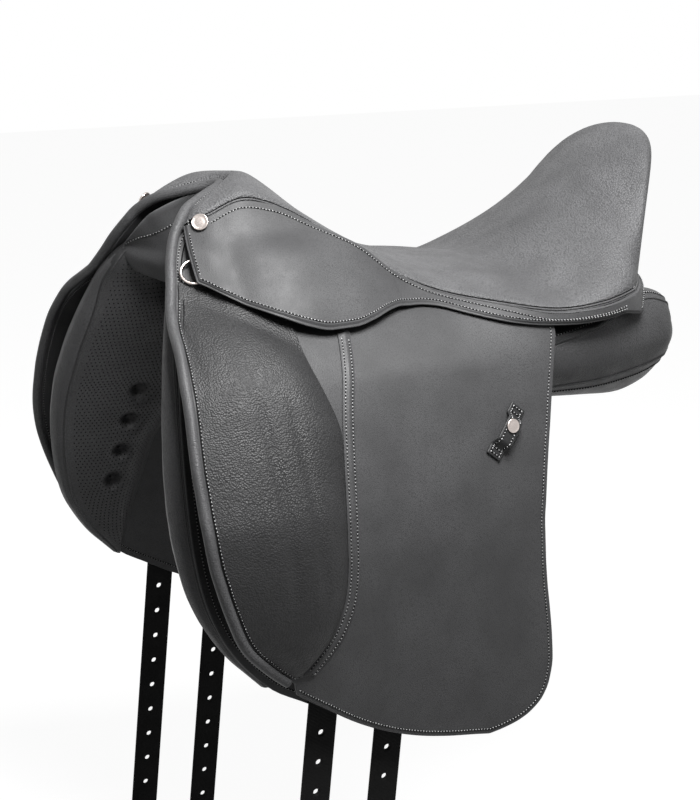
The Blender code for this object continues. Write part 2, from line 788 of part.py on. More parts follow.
def build_gullet_plate():
    """The steel arch at the front of the tree, whose points sit in pockets."""
    half = PLATE_WIDTH / 2
    outer = [arch_ring(0, s * half) for s in (-1, 1)]
    inner = [arch_ring(PLATE_THICK, s * half) for s in (-1, 1)]
    plate = slab(outer, inner)
    hole = SCREW_RADIUS + CLEAR
    plate = combine(plate, drill(hole, -0.02, 0.02, screw_frame(), 12), "DIFFERENCE")
    add_object("gullet_plate", plate, steel())


def screw_frame():
    return Matrix.Translation((0, sum(HEAD_Y) / 2, PLATE_TOP))


def build_gullet_screw():
    """The screw that holds the gullet plate up against the tree."""
    head = -PLATE_THICK - 0.0010
    reach = SCREW_REACH - 0.0006
    screw = lathe([
        (0, head - 0.0030), (0.0050, head - 0.0030), (0.0060, head - 0.0014), (0.0060, head),
        (SCREW_RADIUS, head), (SCREW_RADIUS, reach), (0, reach),
    ], screw_frame(), 12)
    add_object("gullet_screw", screw, steel())


def web(path_low, path_high, thickness):
    """A flat strap between two edges."""
    outer = [path_low, path_high]
    inner = [[p - Vector((0, 0, thickness)) for p in path] for path in outer]
    return slab(outer, inner)


WEB_DROP = 0.0003


def build_seat_webbing():
    """The straining webs, sewn together, that carry the seat's foam across the tree."""
    thickness = 0.0018
    ys = spread(-0.150, 0.172, 12)
    result = None
    for low, high in ((-0.028, -0.004), (0.004, 0.028)):
        edges = [[Vector((x, y, floor_height(y) - WEB_DROP)) for y in ys] for x in (low, high)]
        strip = web(edges[0], edges[1], thickness)
        result = combine(result, strip) if result else strip
    for y in (-0.055, 0.0, 0.060):
        edges = []
        for side in (-1, 1):
            v = y + side * 0.012
            level = floor_height(v) - WEB_DROP - thickness / 2
            half = lookup(WELT, y, 1) * 0.86
            edges.append([Vector((x * half, v, level)) for x in spread(-1, 1, 5)])
        result = combine(result, web(edges[0], edges[1], thickness))
    add_object("seat_webbing", result, webbing())


# The skirt and the fittings under it

def skirt_grid(stations, low_share, high_share, columns, lift):
    """Rows of points on the skirt, between two shares of its depth."""
    grid = []
    for upper_y, lower_y, lower_z, z_top, split in stations:
        line = []
        for j in range(columns):
            share = j / (columns - 1)
            start, end = low_share(split), high_share(split)
            t = mix(start, end, share)
            y = mix(upper_y, lower_y, t)
            z = mix(z_top, lower_z, t)
            line.append(on_surface(flap_x, y, z, skirt_out(y, z) + lift))
        grid.append(line)
    return grid


SKIRT_DROP = WELT_DROP + WELT_RADIUS + CLEAR


def skirt_stations(first, last):
    result = []
    for upper_y, lower_y, lower_z in SKIRT_STATIONS:
        if not first <= upper_y <= last:
            continue
        z_top = lookup(WELT, upper_y, 2) - SKIRT_DROP
        split = (z_top - lobe_z(upper_y)) / (z_top - lower_z)
        result.append((upper_y, lower_y, lower_z, z_top, split))
    return result


def build_skirts():
    front = skirt_stations(-1, SKIRT_SPLIT[0])
    upper = [
        skirt_grid(front, lambda s: 0, lambda s: s - LOBE_GAP, 4, lift) for lift in (SKIRT_THICK, 0)
    ]
    rear = skirt_stations(SKIRT_SPLIT[1], 1)
    whole = [skirt_grid(rear, lambda s: 0, lambda s: 1, 4, lift) for lift in (SKIRT_THICK, 0)]
    tail = skirt_tail()
    outer = upper[0] + whole[0] + tail[0]
    inner = upper[1] + whole[1] + tail[1]
    add_pair("skirt", slab(outer, inner), smooth_leather())
    lobe = [skirt_grid(front, lambda s: s + LOBE_GAP, lambda s: 1, 7, lift) for lift in (SKIRT_THICK, 0)]
    add_pair("skirt_lobe", slab(lobe[0], lobe[1]), smooth_leather(), LOBE_AXIS[0])


def skirt_tail():
    """The skirt's narrow band round the back of the cantle."""
    outer = []
    inner = []
    for value in (11.35, 12, 12.7, 13.4, 14.1, 14.8):
        x, y, z = seat_row(value)[:3]
        near = seat_row(value - 0.2)
        far = seat_row(value + 0.2)
        along = Vector((far[0] - near[0], far[1] - near[1], 0)).normalized()
        outward = Vector((along.y, -along.x, 0))
        if outward.y < 0:
            outward = -outward
        depth = mix(0.018, 0.014, (value - 11.35) / 3.45)
        start = Vector((x, y, z - SKIRT_DROP)) + outward * 0.0006
        line = []
        back = []
        for share in spread(0, 1, 4):
            point = start + outward * 0.004 * share - Vector((0, 0, depth * share))
            line.append(point + outward * SKIRT_THICK)
            back.append(point)
        outer.append(line)
        inner.append(back)
    return outer, inner


LOBE_AXIS = ((0.0820, -0.2290, 0.1560), (0.1220, -0.0610, 0.1120))
STUD_PLACE = (-0.2090, 0.1565)


def build_skirt_studs():
    frame = surface_frame(flap_x, STUD_PLACE[0], STUD_PLACE[1])
    base = skirt_out(*STUD_PLACE) + SKIRT_THICK + 3 * CLEAR
    profile = [
        (0, base), (STUD_RADIUS * 0.86, base), (STUD_RADIUS, base + 0.0007), (STUD_RADIUS, base + 0.0014),
        (STUD_RADIUS * 0.86, base + 0.0022), (0, base + 0.0025),
    ]
    add_pair("skirt_stud", lathe(profile, frame, 16), silver())


# The flaps

ROLL_END = (-0.185, -0.190)


def front_inset(z):
    """How far the flap's sheet stands back from the front line, to leave room for the roll."""
    if z <= ROLL_END[1]:
        return 0.0
    return (2 * PIPING_RADIUS + 4 * CLEAR) * front_slant(z)


def build_flaps():
    rows = sorted([row[0] for row in FLAP_OUTLINE] + [ROLL_END[1]], reverse=True)
    flap = side_sheet(flap_x, FLAP_OUTLINE, 0, FLAP_THICK, 5, front_inset, rows)
    add_pair("flap", flap, smooth_leather(), FLAP_AXIS[0])
    head = side_sheet(flap_x, HEAD_OUTLINE, 0, FLAP_THICK, 12, front_inset)
    for frame in rivet_frames():
        head = combine(head, drill(RIVET_RADIUS + RIVET_GAP, -0.01, 0.01, frame, 10), "DIFFERENCE")
    add_pair("flap_head", head, smooth_leather())


FLAP_AXIS = ((0.1612, -0.2700, 0.0620), (0.1508, 0.0660, 0.0620))


def front_slant(z):
    """How much longer a width is along y than across the front line, at a height."""
    step = 0.004
    slope = (lookup(FRONT_LINE, z + step, 2) - lookup(FRONT_LINE, z - step, 2)) / (2 * step)
    return min(math.sqrt(1 + slope * slope), 1.5)


def roll_centre(z):
    """The middle of the front roll at a height: x, y, z."""
    y = lookup(FRONT_LINE, z, 2) + PIPING_RADIUS * front_slant(z)
    x = lookup(FRONT_LINE, z, 1)
    if z <= HINGE_Z + 0.040:
        x = flap_x(y, z) - 0.0015
    return Vector((x, y, z))


def build_rolls():
    """The rolled edge: one piece over the pommel, and one down each flap."""
    heights = [0.165, 0.155, 0.145, 0.130, 0.115, 0.100, 0.085, 0.074, HINGE_Z + HINGE_GAP / 2]
    left = [
        Vector((0, -0.1697, 0.1792)), Vector((0.0075, -0.1745, 0.1775)), Vector((0.0160, -0.1870, 0.1740)),
        Vector((0.0262, -0.2017, 0.1695)),
    ]
    left += [roll_centre(z) for z in heights]
    path = [flipped(p) for p in reversed(left[1:])] + left
    add_object("pommel_roll", tube(path, PIPING_RADIUS, 8, True, True), leather())
    low = [row[0] for row in FLAP_OUTLINE if ROLL_END[0] < row[0] < 0.055] + [-0.176]
    path = [roll_centre(z) for z in [HINGE_Z - HINGE_GAP / 2] + low]
    add_pair("flap_roll", tube(path, PIPING_RADIUS, 8, level_start=True), leather(), FLAP_AXIS[0])


PAD_OUTLINE = table(
    (46, -255, -137), (30, -257.5, -141.5), (10, -259.5, -145.5), (-10, -260.5, -148.5),
    (-30, -260.5, -151), (-50, -259.5, -153), (-70, -257, -154), (-90, -252, -154.5),
    (-115, -243.5, -157), (-140, -230.5, -167), (-162, -213.5, -186), (-170, -206, -194),
)


def pad_rise(y, z):
    """Thickness of the knee pad."""
    front = lookup(PAD_OUTLINE, z, 1)
    rear = lookup(PAD_OUTLINE, z, 2)
    across = (y - front) / max(rear - front, 0.001)
    down = (PAD_OUTLINE[0][0] - z) / (PAD_OUTLINE[0][0] - PAD_OUTLINE[-1][0])
    across = min(max(across, 0), 1)
    hump = (1 - (2 * across - 1) ** 4) * (0.45 + 0.55 * across)
    length = 1 - abs(2 * down - 1) ** 3
    return PAD_EDGE + (PAD_HEIGHT - PAD_EDGE) * max(hump, 0) * max(length, 0)


def build_knee_pads():
    outer = []
    inner = []
    for z, front, rear in PAD_OUTLINE:
        ys = [mix(front, rear, 0.5 - 0.5 * math.cos(math.pi * k / 10)) for k in range(11)]
        outer.append([on_surface(flap_x, y, z, CLEAR + pad_rise(y, z)) for y in ys])
        inner.append([on_surface(flap_x, y, z, CLEAR) for y in ys])
    add_pair("knee_pad", slab(outer, inner), leather(), FLAP_AXIS[0])


def build_seam_strips():
    """The stitched strip behind the knee pad."""
    width = 0.0100
    path = [(z, rear + 0.0012) for z, front, rear in PAD_OUTLINE]
    outer = []
    inner = []
    for i, (z, y) in enumerate(path):
        ahead = path[min(i + 1, len(path) - 1)]
        behind = path[max(i - 1, 0)]
        along = Vector((ahead[1] - behind[1], ahead[0] - behind[0], 0)).normalized()
        side = Vector((-along.y, along.x, 0))
        line = []
        back = []
        for share in (0, 0.5, 1):
            step = side * width * share
            line.append(on_surface(flap_x, y + step.x, z + step.y, CLEAR + 0.0016))
            back.append(on_surface(flap_x, y + step.x, z + step.y, CLEAR))
        outer.append(line)
        inner.append(back)
    add_pair("seam_strip", slab(outer, inner), smooth_leather(), FLAP_AXIS[0])


KEEPER_PLACE = (0.0036, -0.0103)
KEEPER_TURN = math.radians(50)


def keeper_frame():
    return surface_frame(flap_x, KEEPER_PLACE[0], KEEPER_PLACE[1], KEEPER_TURN)


def keeper_height(x):
    half = KEEPER_LENGTH / 2
    flat = 0.0075
    if abs(x) > half - flat:
        return 0.0
    t = 1 - abs(x) / (half - flat)
    t = min(t * 2.6, 1)
    return KEEPER_RISE * t * t * (3 - 2 * t)


def build_keepers():
    """The tab that holds the end of a stirrup leather, and the disc on it."""
    frame = keeper_frame()
    half = KEEPER_LENGTH / 2
    xs = [-half, -half + 0.0075, -0.0130, -0.0100, -0.0060, 0, 0.0060, 0.0100, 0.0130, half - 0.0075, half]
    thickness = 0.0018
    outer = []
    inner = []
    for x in xs:
        rise = keeper_height(x)
        outer.append([
            frame @ Vector((x, s * KEEPER_WIDTH / 2, CLEAR + rise + thickness)) for s in (-1, 0, 1)
        ])
        inner.append([frame @ Vector((x, s * KEEPER_WIDTH / 2, CLEAR + rise)) for s in (-1, 0, 1)])
    add_pair("keeper", slab(outer, inner), smooth_leather(), FLAP_AXIS[0])
    base = KEEPER_RISE + thickness + 2 * CLEAR
    frame = frame @ Matrix.Translation((0.0045, 0.0008, 0))
    profile = [
        (0, base), (DISC_RADIUS, base), (DISC_RADIUS, base + 0.0010), (DISC_RADIUS * 0.88, base + 0.0016),
        (0, base + 0.0018),
    ]
    add_pair("keeper_disc", lathe(profile, frame, 14), silver(), FLAP_AXIS[0])


# Under the flaps

def build_sweat_flaps():
    sheet = side_sheet(sweat_x, SWEAT_OUTLINE, 0, SWEAT_THICK, 5)
    add_pair("sweat_flap", sheet, smooth_leather())


STRAPS = {"front": -0.169, "rear": -0.107}
STRAP_TIP = 0.0006        # thickness of a strap's end where it bends
STRAP_TAPER = 0.0024      # length of that end's taper
STRAP_TOP = 0.044


def strap_y(name, z):
    """The middle of a girth strap at a height: it leans forward as it goes down."""
    return STRAPS[name] - (STRAP_SPLIT_Z - z) * STRAP_LEAN


def hole_heights():
    return [FIRST_HOLE_Z - HOLE_SPACING * k for k in range(HOLE_COUNT)]


def strap_sheet(name, heights, tip, columns=3):
    """A length of girth strap, thinned at the height where it bends."""
    outer = []
    inner = []
    for z in heights:
        thin = (STRAP_THICK - STRAP_TIP) / 2 if z == tip else 0
        centre = strap_y(name, z)
        level = max(z, STRAP_SPLIT_Z + 0.030)
        x = on_surface(sweat_x, centre, level, 0.0016 + STRAP_THICK).x
        ys = spread(centre - STRAP_WIDTH / 2, centre + STRAP_WIDTH / 2, columns)
        outer.append([Vector((x - thin, y, z)) for y in ys])
        inner.append([Vector((x - STRAP_THICK + thin, y, z)) for y in ys])
    return slab(outer, inner)


def punch(mesh, name, heights):
    """Buckle holes through a strap."""
    for z in heights:
        frame = Matrix.Translation((0.1, strap_y(name, z), z)) @ Matrix.Rotation(math.pi / 2, 4, "Y")
        mesh = combine(mesh, drill(HOLE_RADIUS, 0, 0.2, frame, 6), "DIFFERENCE")
    return mesh


def strap_axis(name):
    x = on_surface(sweat_x, strap_y(name, STRAP_SPLIT_Z), STRAP_SPLIT_Z + 0.030, 0.0016 + STRAP_THICK).x
    return (x - STRAP_THICK / 2, strap_y(name, STRAP_SPLIT_Z), STRAP_SPLIT_Z)


def build_girth_straps():
    above = STRAP_SPLIT_Z + HINGE_GAP / 2
    below = STRAP_SPLIT_Z - HINGE_GAP / 2
    upper_rows = [STRAP_TOP, 0.02, 0, -0.03, -0.07, -0.11, -0.15, -0.19, -0.23, above + STRAP_TAPER, above]
    lower_rows = [below, below - STRAP_TAPER, STRAP_END_Z + 0.010, STRAP_END_Z]
    upper_holes = [z for z in hole_heights() if z > STRAP_SPLIT_Z]
    lower_holes = [z for z in hole_heights() if z < STRAP_SPLIT_Z]
    for name in STRAPS:
        upper = punch(strap_sheet(name, upper_rows, above), name, upper_holes)
        add_pair("strap_" + name, upper, webbing())
        tail = punch(strap_sheet(name, lower_rows, below), name, lower_holes)
        add_pair("strap_tail_" + name, tail, webbing(), strap_axis(name))


def web_x(y, z):
    """The inner face of a web that lies against the inside of the tree's rail."""
    return wall_x(y, z, FLAP_THICK + 0.0006) - 1.2 * TREE_THICK - 0.0022 - WEB_THICK


def build_web_straps():
    """A web along the inside of the tree's rail, with an end down to the top of each girth strap."""
    half = 0.010
    result = None
    for name in STRAPS:
        inner = []
        top = strap_y(name, 0.080)
        low = strap_y(name, 0.036)
        for z, y in ((0.0045, top), (0.0005, top), (0.0735, top), (0.0465, low), (0.0340, low)):
            line = []
            for v in spread(y - half, y + half, 3):
                if z < 0.010:
                    height = lookup(RAIL_LOW, v) + z
                    line.append(Vector((web_x(v, height), v, height)))
                elif z > SWEAT_TOP:
                    line.append(Vector((sweat_x(v, SWEAT_TOP) + 0.0014, v, z)))
                else:
                    line.append(Vector((strap_outer_x(name, z) + 2 * CLEAR, v, z)))
            inner.append(line)
        outer = [[p + Vector((WEB_THICK, 0, 0)) for p in line] for line in inner]
        strip = slab(outer, inner)
        result = combine(result, strip) if result else strip
    ys = spread(strap_y("front", 0.080) - 0.008, strap_y("rear", 0.080) + 0.008, 9)
    inner = []
    for z in (0.0055, 0.0020):
        heights = [lookup(RAIL_LOW, v) + z for v in ys]
        inner.append([Vector((web_x(v, h) - 0.0003, v, h)) for v, h in zip(ys, heights)])
    outer = [[p + Vector((WEB_THICK + 0.0006, 0, 0)) for p in line] for line in inner]
    add_pair("web_strap", combine(result, slab(outer, inner)), webbing())


def strap_outer_x(name, z):
    return on_surface(sweat_x, strap_y(name, z), z, 0.0016 + STRAP_THICK).x


def build_point_pockets():
    """Leather pockets over the gullet plate's points."""
    outer = []
    inner = []
    for z in (0.026, 0.031, 0.0370, 0.039, 0.055, 0.071, 0.0745):
        line = []
        back = []
        middle = plate_y(z)
        x_plate = lookup([(row[1], row[0]) for row in PLATE_ARCH], max(z, PLATE_ARCH[-1][1]))
        for off in (-0.0215, -0.0160, 0, 0.0160, 0.0215):
            y = middle + off
            seat = on_surface(sweat_x, y, z, CLEAR)
            if abs(off) < 0.020 and z > 0.034:
                seat = Vector((max(x_plate + 0.0009, seat.x), y, seat.z))
            back.append(seat)
            line.append(seat + Vector((0.0014, 0, 0.0004)))
        outer.append(line)
        inner.append(back)
    add_pair("point_pocket", slab(outer, inner), smooth_leather())


# The stirrup bars

RIVET_PLACES = (-0.0130, 0.0170)
RIVET_REACH = 0.0100      # into the tree, behind the flap's outer face


def bar_frame(side=1):
    frame = surface_frame(flap_x, BAR_PLACE[0], BAR_PLACE[1])
    if side < 0:
        frame = Matrix.Scale(-1, 4, (1, 0, 0)) @ frame
    return frame


def rivet_frames(side=1):
    return [bar_frame(side) @ Matrix.Translation((x, 0, 0)) for x in RIVET_PLACES]


BAR_BASE = 0.0008         # the bar's flat back, off the curved leather under it
CATCH_X = 0.0300
CATCH_RADIUS = 0.0016


def build_stirrup_bars():
    frame = bar_frame()
    half = BAR_HEIGHT / 2
    plate_top = BAR_BASE + BAR_PLATE
    level = plate_top + BAR_STANDOFF
    profile = [
        (-0.0340, BAR_BASE), (0.0325, BAR_BASE), (0.0325, plate_top), (-0.0285, plate_top),
        (-0.0272, plate_top + 0.0014), (-0.0272, level - 0.0014), (-0.0258, level), (0.0200, level),
        (0.0225, level + 0.0012), (0.0225, level + BAR_THICK - 0.0012), (0.0205, level + BAR_THICK),
        (-0.0300, level + BAR_THICK), (-0.0340, level + BAR_THICK - 0.0030),
    ]
    rings = [[frame @ Vector((x, y, z)) for x, z in profile] for y in (-half, half)]
    bar = loft(rings)
    for low, high in ((-half, -half + 0.0022), (half - 0.0022, half)):
        ear = box(frame, (CATCH_X - 0.0025, low, plate_top - 0.0005),
                  (CATCH_X + 0.0025, high, plate_top + 0.0042))
        bar = combine(bar, ear)
    across = catch_frame()
    bar = combine(bar, drill(CATCH_RADIUS * 0.5 + RIVET_GAP, -0.02, 0.02, across, 10), "DIFFERENCE")
    for spot in rivet_frames():
        bar = combine(bar, drill(RIVET_RADIUS + RIVET_GAP, -0.001, level - 0.002, spot, 10), "DIFFERENCE")
    add_pair("stirrup_bar", bar, steel(), smooth=False)
    for name, spot in zip(("front", "rear"), rivet_frames()):
        rivet = lathe([
            (0, -RIVET_REACH), (RIVET_RADIUS, -RIVET_REACH), (RIVET_RADIUS, plate_top + 0.0003),
            (0.0040, plate_top + 0.0003), (0.0034, plate_top + 0.0012), (0, plate_top + 0.0014),
        ], spot, 10)
        add_pair("bar_rivet_" + name, rivet, steel())
    catch = lathe([
        (0, -half + 0.0006), (CATCH_RADIUS * 0.5, -half + 0.0006), (CATCH_RADIUS * 0.5, -half + 0.0025),
        (CATCH_RADIUS, -half + 0.0025), (CATCH_RADIUS, half - 0.0025), (CATCH_RADIUS * 0.5, half - 0.0025),
        (CATCH_RADIUS * 0.5, half - 0.0006), (0, half - 0.0006),
    ], across, 10)
    blade = box(frame, (CATCH_X, -half + 0.0028, plate_top + 0.0013),
                (CATCH_X + 0.0085, half - 0.0028, plate_top + 0.0029))
    catch = combine(catch, blade)
    add_pair("bar_catch", catch, steel(), tuple(across.translation), False)


def catch_frame():
    """A frame on the catch's pivot, with Z along it."""
    place = bar_frame() @ Matrix.Translation((CATCH_X, 0, BAR_BASE + BAR_PLATE + 0.0022))
    return place @ Matrix.Rotation(-math.pi / 2, 4, "X")


# The rings under the skirt

CHAPE_THICK = 0.0010
RING_BASE = 0.0024        # off the curved leather behind it


def ring_frame():
    return surface_frame(flap_x, RING_PLACE[0], RING_PLACE[1])


def build_rings():
    frame = ring_frame()
    level = RING_BASE + CLEAR + CHAPE_THICK + RING_WIRE
    path = []
    for k in range(15):
        turn = math.radians(mix(58, 302, k / 14))
        path.append(frame @ Vector((RING_RADIUS * math.cos(turn), RING_RADIUS * math.sin(turn), level)))
    add_pair("ring", closed_tube(path, RING_WIRE, 6), silver(), tuple(ring_axis_point()))
    width = 0.0062
    x_bar = RING_RADIUS * math.cos(math.radians(58))
    outer_r = RING_WIRE + CLEAR + CHAPE_THICK
    inner_r = RING_WIRE + CLEAR
    tail = x_bar + 0.011
    neck = x_bar + 0.005
    low = level - outer_r
    fold = low + CHAPE_THICK + CLEAR
    outside = [(tail, fold + CHAPE_THICK), (neck, fold + CHAPE_THICK + 0.0002)]
    inside = [(tail, fold), (neck, fold + 0.0002)]
    for turn in spread(math.pi / 2, 3 * math.pi / 2, 9):
        outside.append((x_bar + outer_r * math.cos(turn), level + outer_r * math.sin(turn)))
        inside.append((x_bar + inner_r * math.cos(turn), level + inner_r * math.sin(turn)))
    outside.append((tail, low))
    inside.append((tail, low + CHAPE_THICK))
    outer = [[frame @ Vector((x, y, z)) for y in (-width, 0, width)] for x, z in outside]
    inner = [[frame @ Vector((x, y, z)) for y in (-width, 0, width)] for x, z in inside]
    add_pair("ring_chape", slab(outer, inner), smooth_leather())


def ring_axis_point():
    level = RING_BASE + CLEAR + CHAPE_THICK + RING_WIRE
    return ring_frame() @ Vector((RING_RADIUS * math.cos(math.radians(58)), 0, level))


# The panels

def leaf_thickness(z, share):
    """Thickness of the panel's front leaf, fuller in the middle: share from front to rear."""
    crown = 4 * share * (1 - share)
    return lookup(LEAF_OUTLINE, z, 3) * (1 + 0.22 * crown)


def leaf_front(z):
    return lookup(LEAF_OUTLINE, z, 1) + BOXING_THICK + CLEAR


def leaf_shares(z):
    """Places across the leaf, from its front to its rear, closer together near the tufts."""
    front = leaf_front(z)
    width = lookup(LEAF_OUTLINE, z, 2) - front
    middle = min(max((lookup(TUFT_LINE, z, 1) - front) / width, 0.3), 0.72)
    near = min(0.009 / width, 0.14)
    return [
        0, 0.45 * middle, middle - near, middle - near / 2, middle, middle + near / 2,
        middle + near, mix(middle, 1, 0.5), mix(middle, 1, 0.8), 1,
    ]


def leaf_inner_point(z, share):
    y = mix(leaf_front(z), lookup(LEAF_OUTLINE, z, 2), share)
    thickness = leaf_thickness(z, share)
    if share > 0.6:
        thickness *= 1 - 4.7 * (share - 0.6) ** 2
    for tuft_y, tuft_z in TUFTS:
        distance = math.hypot(y - tuft_y, z - tuft_z)
        thickness -= TUFT_DEPTH * math.exp(-(distance / TUFT_REACH) ** 2)
    return on_surface(sweat_x, y, z, -SWEAT_THICK - CLEAR - thickness)


BOXING_THICK = 0.0014


LEAF_HEIGHTS = sorted(
    [z / 1000 for z in (100, 80, 60, 40, 20, 4, -28, -60, -92, -124, -138, -150, -162, -176, -190)]
    + [z + step for y, z in TUFTS for step in (-0.009, -0.0035, 0.0035, 0.009)],
    reverse=True,
)


def build_panels():
    """The cushions that lie along the horse: a long bearing part and a leaf down the shoulder."""
    outer = []
    inner = []
    for z in LEAF_HEIGHTS:
        front = leaf_front(z)
        rear = lookup(LEAF_OUTLINE, z, 2)
        shares = leaf_shares(z)
        outer.append([on_surface(sweat_x, mix(front, rear, s), z, -SWEAT_THICK - CLEAR) for s in shares])
        inner.append([leaf_inner_point(z, s) for s in shares])
    leaf = slab(outer, inner)
    bearer = loft([[Vector((x, y, z)) for x, z in ring] for y, ring in BEARER_SECTIONS])
    add_pair("panel", combine(bearer, leaf), leather())
    outer = []
    inner = []
    for z in LEAF_HEIGHTS:
        front = lookup(LEAF_OUTLINE, z, 1)
        thickness = leaf_thickness(z, 0)
        line = []
        back = []
        for share in (0, 1):
            depth = -SWEAT_THICK - CLEAR - thickness * share
            line.append(on_surface(sweat_x, front, z, depth))
            back.append(on_surface(sweat_x, front + BOXING_THICK, z, depth))
        outer.append(line)
        inner.append(back)
    add_pair("panel_boxing", slab(outer, inner), leather())


# The facings

FRONT_FACING = table(
    (63, -231, 124), (54, -218, 118), (42, -204, 114), (33, -190, 119), (28, -172, 134), (16, -158, 150),
    (0, -153, 157),
)


FACING_THICK = 0.0014
# Its upper edge near the middle, just under the roll.
FACING_TOP = table((20.4, -193.4, 166.8), (6.8, -173.7, 172.5), (0, -168, 174.5))


def build_front_facing():
    """The lining across the front, under the roll."""
    upper = []
    for z in (0.132, 0.145, 0.153, 0.160):
        upper.append(roll_centre(z) + Vector((-0.0105, 0.0050, -0.0045)))
    upper += [Vector(point) for point in FACING_TOP]
    columns = 4
    half = []
    for low, high in zip(FRONT_FACING, upper):
        half.append([Vector(low).lerp(high, k / (columns - 1)) for k in range(columns)])
    inner = half + [[flipped(p) for p in line] for line in reversed(half[:-1])]
    add_object("front_facing", slab(moved_out(inner, -FACING_THICK), inner), lining())


def moved_out(grid, distance):
    """The same grid of points, moved along its normals."""
    result = []
    for i, line in enumerate(grid):
        ahead = grid[min(i + 1, len(grid) - 1)]
        behind = grid[max(i - 1, 0)]
        moved = []
        for j, point in enumerate(line):
            across = line[min(j + 1, len(line) - 1)] - line[max(j - 1, 0)]
            moved.append(point + (ahead[j] - behind[j]).cross(across).normalized() * distance)
        result.append(moved)
    return result


def build_cantle_facing():
    """The lining that closes the back of the channel, inside the skirt."""
    outer = []
    inner = []
    for x in spread(-0.029, 0.029, 7):
        line = [Vector((x, TREE_REAR + CLEAR, z)) for z in (0.066, 0.078, 0.0895)]
        inner.append(line)
        outer.append([p + Vector((0, FACING_THICK, 0)) for p in line])
    add_object("cantle_facing", slab(outer, inner), lining())


def build_all():
    clear_scene()
    build_seat_cover()
    build_seat_foam()
    build_seat_welt()
    build_tree()
    build_gullet_plate()
    build_gullet_screw()
    build_seat_webbing()
    build_skirts()
    build_skirt_studs()
    build_flaps()
    build_rolls()
    build_knee_pads()
    build_seam_strips()
    build_keepers()
    build_stirrup_bars()
    build_rings()
    build_sweat_flaps()
    build_panels()
    build_girth_straps()
    build_web_straps()
    build_point_pockets()
    build_front_facing()
    build_cantle_facing()


if __name__ == "__main__":
    build_all()
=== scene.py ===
"""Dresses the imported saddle: leathers, stitching, piping, tufted panels, fittings, stage and camera."""

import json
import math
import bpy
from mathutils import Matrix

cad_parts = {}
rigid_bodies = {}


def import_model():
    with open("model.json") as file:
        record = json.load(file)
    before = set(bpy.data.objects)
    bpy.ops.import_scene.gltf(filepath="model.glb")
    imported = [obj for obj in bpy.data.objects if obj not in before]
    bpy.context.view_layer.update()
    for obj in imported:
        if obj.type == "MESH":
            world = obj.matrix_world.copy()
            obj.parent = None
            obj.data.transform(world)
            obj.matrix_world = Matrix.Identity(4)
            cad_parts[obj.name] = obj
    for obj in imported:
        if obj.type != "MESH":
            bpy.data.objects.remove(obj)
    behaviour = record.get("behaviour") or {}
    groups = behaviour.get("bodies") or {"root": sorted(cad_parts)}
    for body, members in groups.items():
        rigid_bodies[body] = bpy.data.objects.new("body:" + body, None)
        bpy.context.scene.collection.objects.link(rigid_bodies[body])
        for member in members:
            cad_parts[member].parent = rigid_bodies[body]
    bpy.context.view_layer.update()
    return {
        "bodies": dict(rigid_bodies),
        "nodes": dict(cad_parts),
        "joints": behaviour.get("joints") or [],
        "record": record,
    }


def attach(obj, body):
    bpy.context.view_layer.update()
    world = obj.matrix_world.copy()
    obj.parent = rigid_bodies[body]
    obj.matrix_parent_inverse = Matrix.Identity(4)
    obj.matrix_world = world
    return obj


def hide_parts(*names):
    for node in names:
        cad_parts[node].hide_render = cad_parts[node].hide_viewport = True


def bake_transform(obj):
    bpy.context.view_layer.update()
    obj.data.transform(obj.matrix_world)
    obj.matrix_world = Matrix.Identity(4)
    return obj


bl_info = {
    "name": "Saddle dressing",
    "version": (1, 0, 0),
    "blender": (4, 5, 0),
    "location": "3D View > Sidebar > Saddle",
    "description": "Builds the visible leathers, stitches and fittings over the saddle's frame",
    "category": "Object",
}

import bmesh
import bpy
from bpy.props import FloatProperty, FloatVectorProperty, PointerProperty
from mathutils import Matrix, Vector

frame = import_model()
SIDES = ("left", "right")
ROOT = "saddle"

# Sizes that the frame was made with, in metres.
CLEAR = 0.0004            # gap left between pieces that touch
FLAP_THICK = 0.0034       # leather of the flap
SKIRT_THICK = 0.0030      # leather of the skirt
SWEAT_THICK = 0.0024      # leather of the sweat flap
COVER_THICK = 0.0022      # leather of the seat cover
PIPING_RADIUS = 0.0044    # roll along the flap's front edge
WELT_RADIUS = 0.0014      # cord under the seat cover's edge
WELT_DROP = 0.0028        # its middle, below that edge
HINGE_Z = 0.062           # height of the line along which the flap bends
SKIRT_LIFT = 0.0022       # height of the skirt's underside over the flap at its edges
SKIRT_BULGE = 0.0128      # how much more it stands off over the stirrup bar
RING_BULGE = 0.0062       # and over the ring at its front corner
STRAP_WIDTH = 0.0240      # girth straps
STRAP_THICK = 0.0032
STRAP_END_Z = -0.505
STRAP_SPLIT_Z = -0.268    # height at which a girth strap bends, under the flap
HOLE_SPACING = 0.0254
HOLE_RADIUS = 0.0027
HOLE_COUNT = 11
FIRST_HOLE_Z = -0.236
STRAP_LEAN = 0.095        # forward lean of the girth straps, as a slope
STUD_RADIUS = 0.0068
DISC_RADIUS = 0.0058
KEEPER_LENGTH = 0.047
KEEPER_WIDTH = 0.0135
KEEPER_RISE = 0.0066
RING_RADIUS = 0.0105      # ring under the skirt's front corner
RING_WIRE = 0.0012


def table(*rows):
    """Rows in millimetres to rows in metres."""
    return [tuple(v / 1000.0 for v in row) for row in rows]


